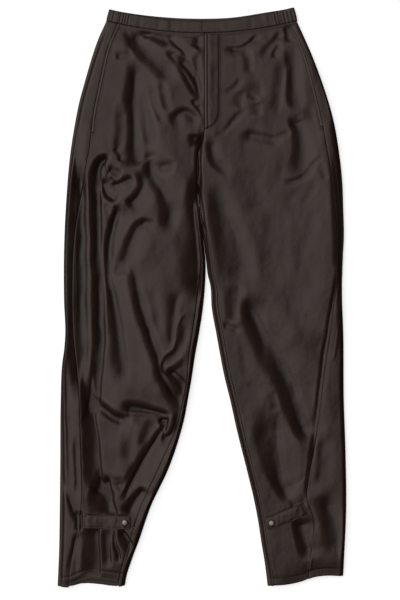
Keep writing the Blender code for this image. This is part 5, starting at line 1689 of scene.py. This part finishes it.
def light_world(scene, brightness):
    """A softbox overhead, a little up and to the left, in a dim studio. The camera itself sees
    an even pale backdrop."""
    world = bpy.data.worlds.new("softbox")
    scene.world = world
    world.use_nodes = True
    tree = world.node_tree
    tree.nodes.clear()
    ray = add_node(tree, "ShaderNodeTexCoord").outputs["Generated"]
    toward = Vector((-SHADED[0], -SHADED[1], SOFTBOX_LEAN)).normalized()
    nearness = add_node(tree, "ShaderNodeVectorMath", {0: ray, 1: toward}, operation="DOT_PRODUCT")
    glow = add_node(tree, "ShaderNodeMapRange", {
        "Value": nearness.outputs["Value"], "From Min": SOFTBOX_EDGE, "From Max": 1.0,
        "To Min": STUDIO_DIM, "To Max": brightness}, interpolation_type="SMOOTHSTEP")
    lamp = add_node(tree, "ShaderNodeBackground", {
        "Color": (1, 1, 1, 1), "Strength": glow.outputs[0]})
    backdrop = add_node(tree, "ShaderNodeBackground", {
        "Color": BACKDROP, "Strength": 1.0})
    seen = add_node(tree, "ShaderNodeLightPath").outputs["Is Camera Ray"]
    mix = add_node(tree, "ShaderNodeMixShader", {
        0: seen, 1: lamp.outputs[0], 2: backdrop.outputs[0]})
    add_node(tree, "ShaderNodeOutputWorld", {"Surface": mix.outputs[0]})


def place_camera(scene):
    """Straight above the garment, with the waist at the top of the frame."""
    camera = bpy.data.cameras.new("camera")
    camera.lens = LENS
    camera.sensor_width = SENSOR
    camera.clip_end = CAMERA_REACH
    rig = bpy.data.objects.new("camera", camera)
    rig.location = (*FRAME_MIDDLE, FRAME_LEVEL + FRAME_LENGTH * LENS / SENSOR)
    scene.collection.objects.link(rig)
    scene.camera = rig


class TROUSERS_PT_panel(bpy.types.Panel):
    """The trousers' settings, and a button for each piece"""

    bl_idname = "TROUSERS_PT_panel"
    bl_label = "Leather trousers"
    bl_space_type = "VIEW_3D"
    bl_region_type = "UI"
    bl_category = "Trousers"

    def draw(self, context):
        own = context.scene.trousers
        for name in TrousersSettings.__annotations__:
            self.layout.prop(own, name)
        for operator in OPERATORS:
            self.layout.operator(operator.bl_idname)


OPERATORS = (
    TROUSERS_OT_backs,
    TROUSERS_OT_fronts,
    TROUSERS_OT_waistband,
    TROUSERS_OT_fly,
    TROUSERS_OT_pockets,
    TROUSERS_OT_seams,
    TROUSERS_OT_straps,
    TROUSERS_OT_stage,
)
CLASSES = (TrousersSettings, *OPERATORS, TROUSERS_PT_panel)


def register():
    for item in CLASSES:
        bpy.utils.register_class(item)
    bpy.types.Scene.trousers = bpy.props.PointerProperty(type=TrousersSettings)


def unregister():
    del bpy.types.Scene.trousers
    for item in reversed(CLASSES):
        bpy.utils.unregister_class(item)


def plain(bounds):
    """Corners of a box as ordinary numbers."""
    return [[float(value) for value in corner] for corner in bounds]


def main():
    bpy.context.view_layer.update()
    register()
    bpy.ops.trousers.backs()
    bpy.ops.trousers.fronts()
    bpy.ops.trousers.waistband()
    bpy.ops.trousers.fly()
    bpy.ops.trousers.pockets()
    bpy.ops.trousers.seams()
    bpy.ops.trousers.straps()
    bpy.ops.trousers.stage()


if __name__ == "__main__":
    main()
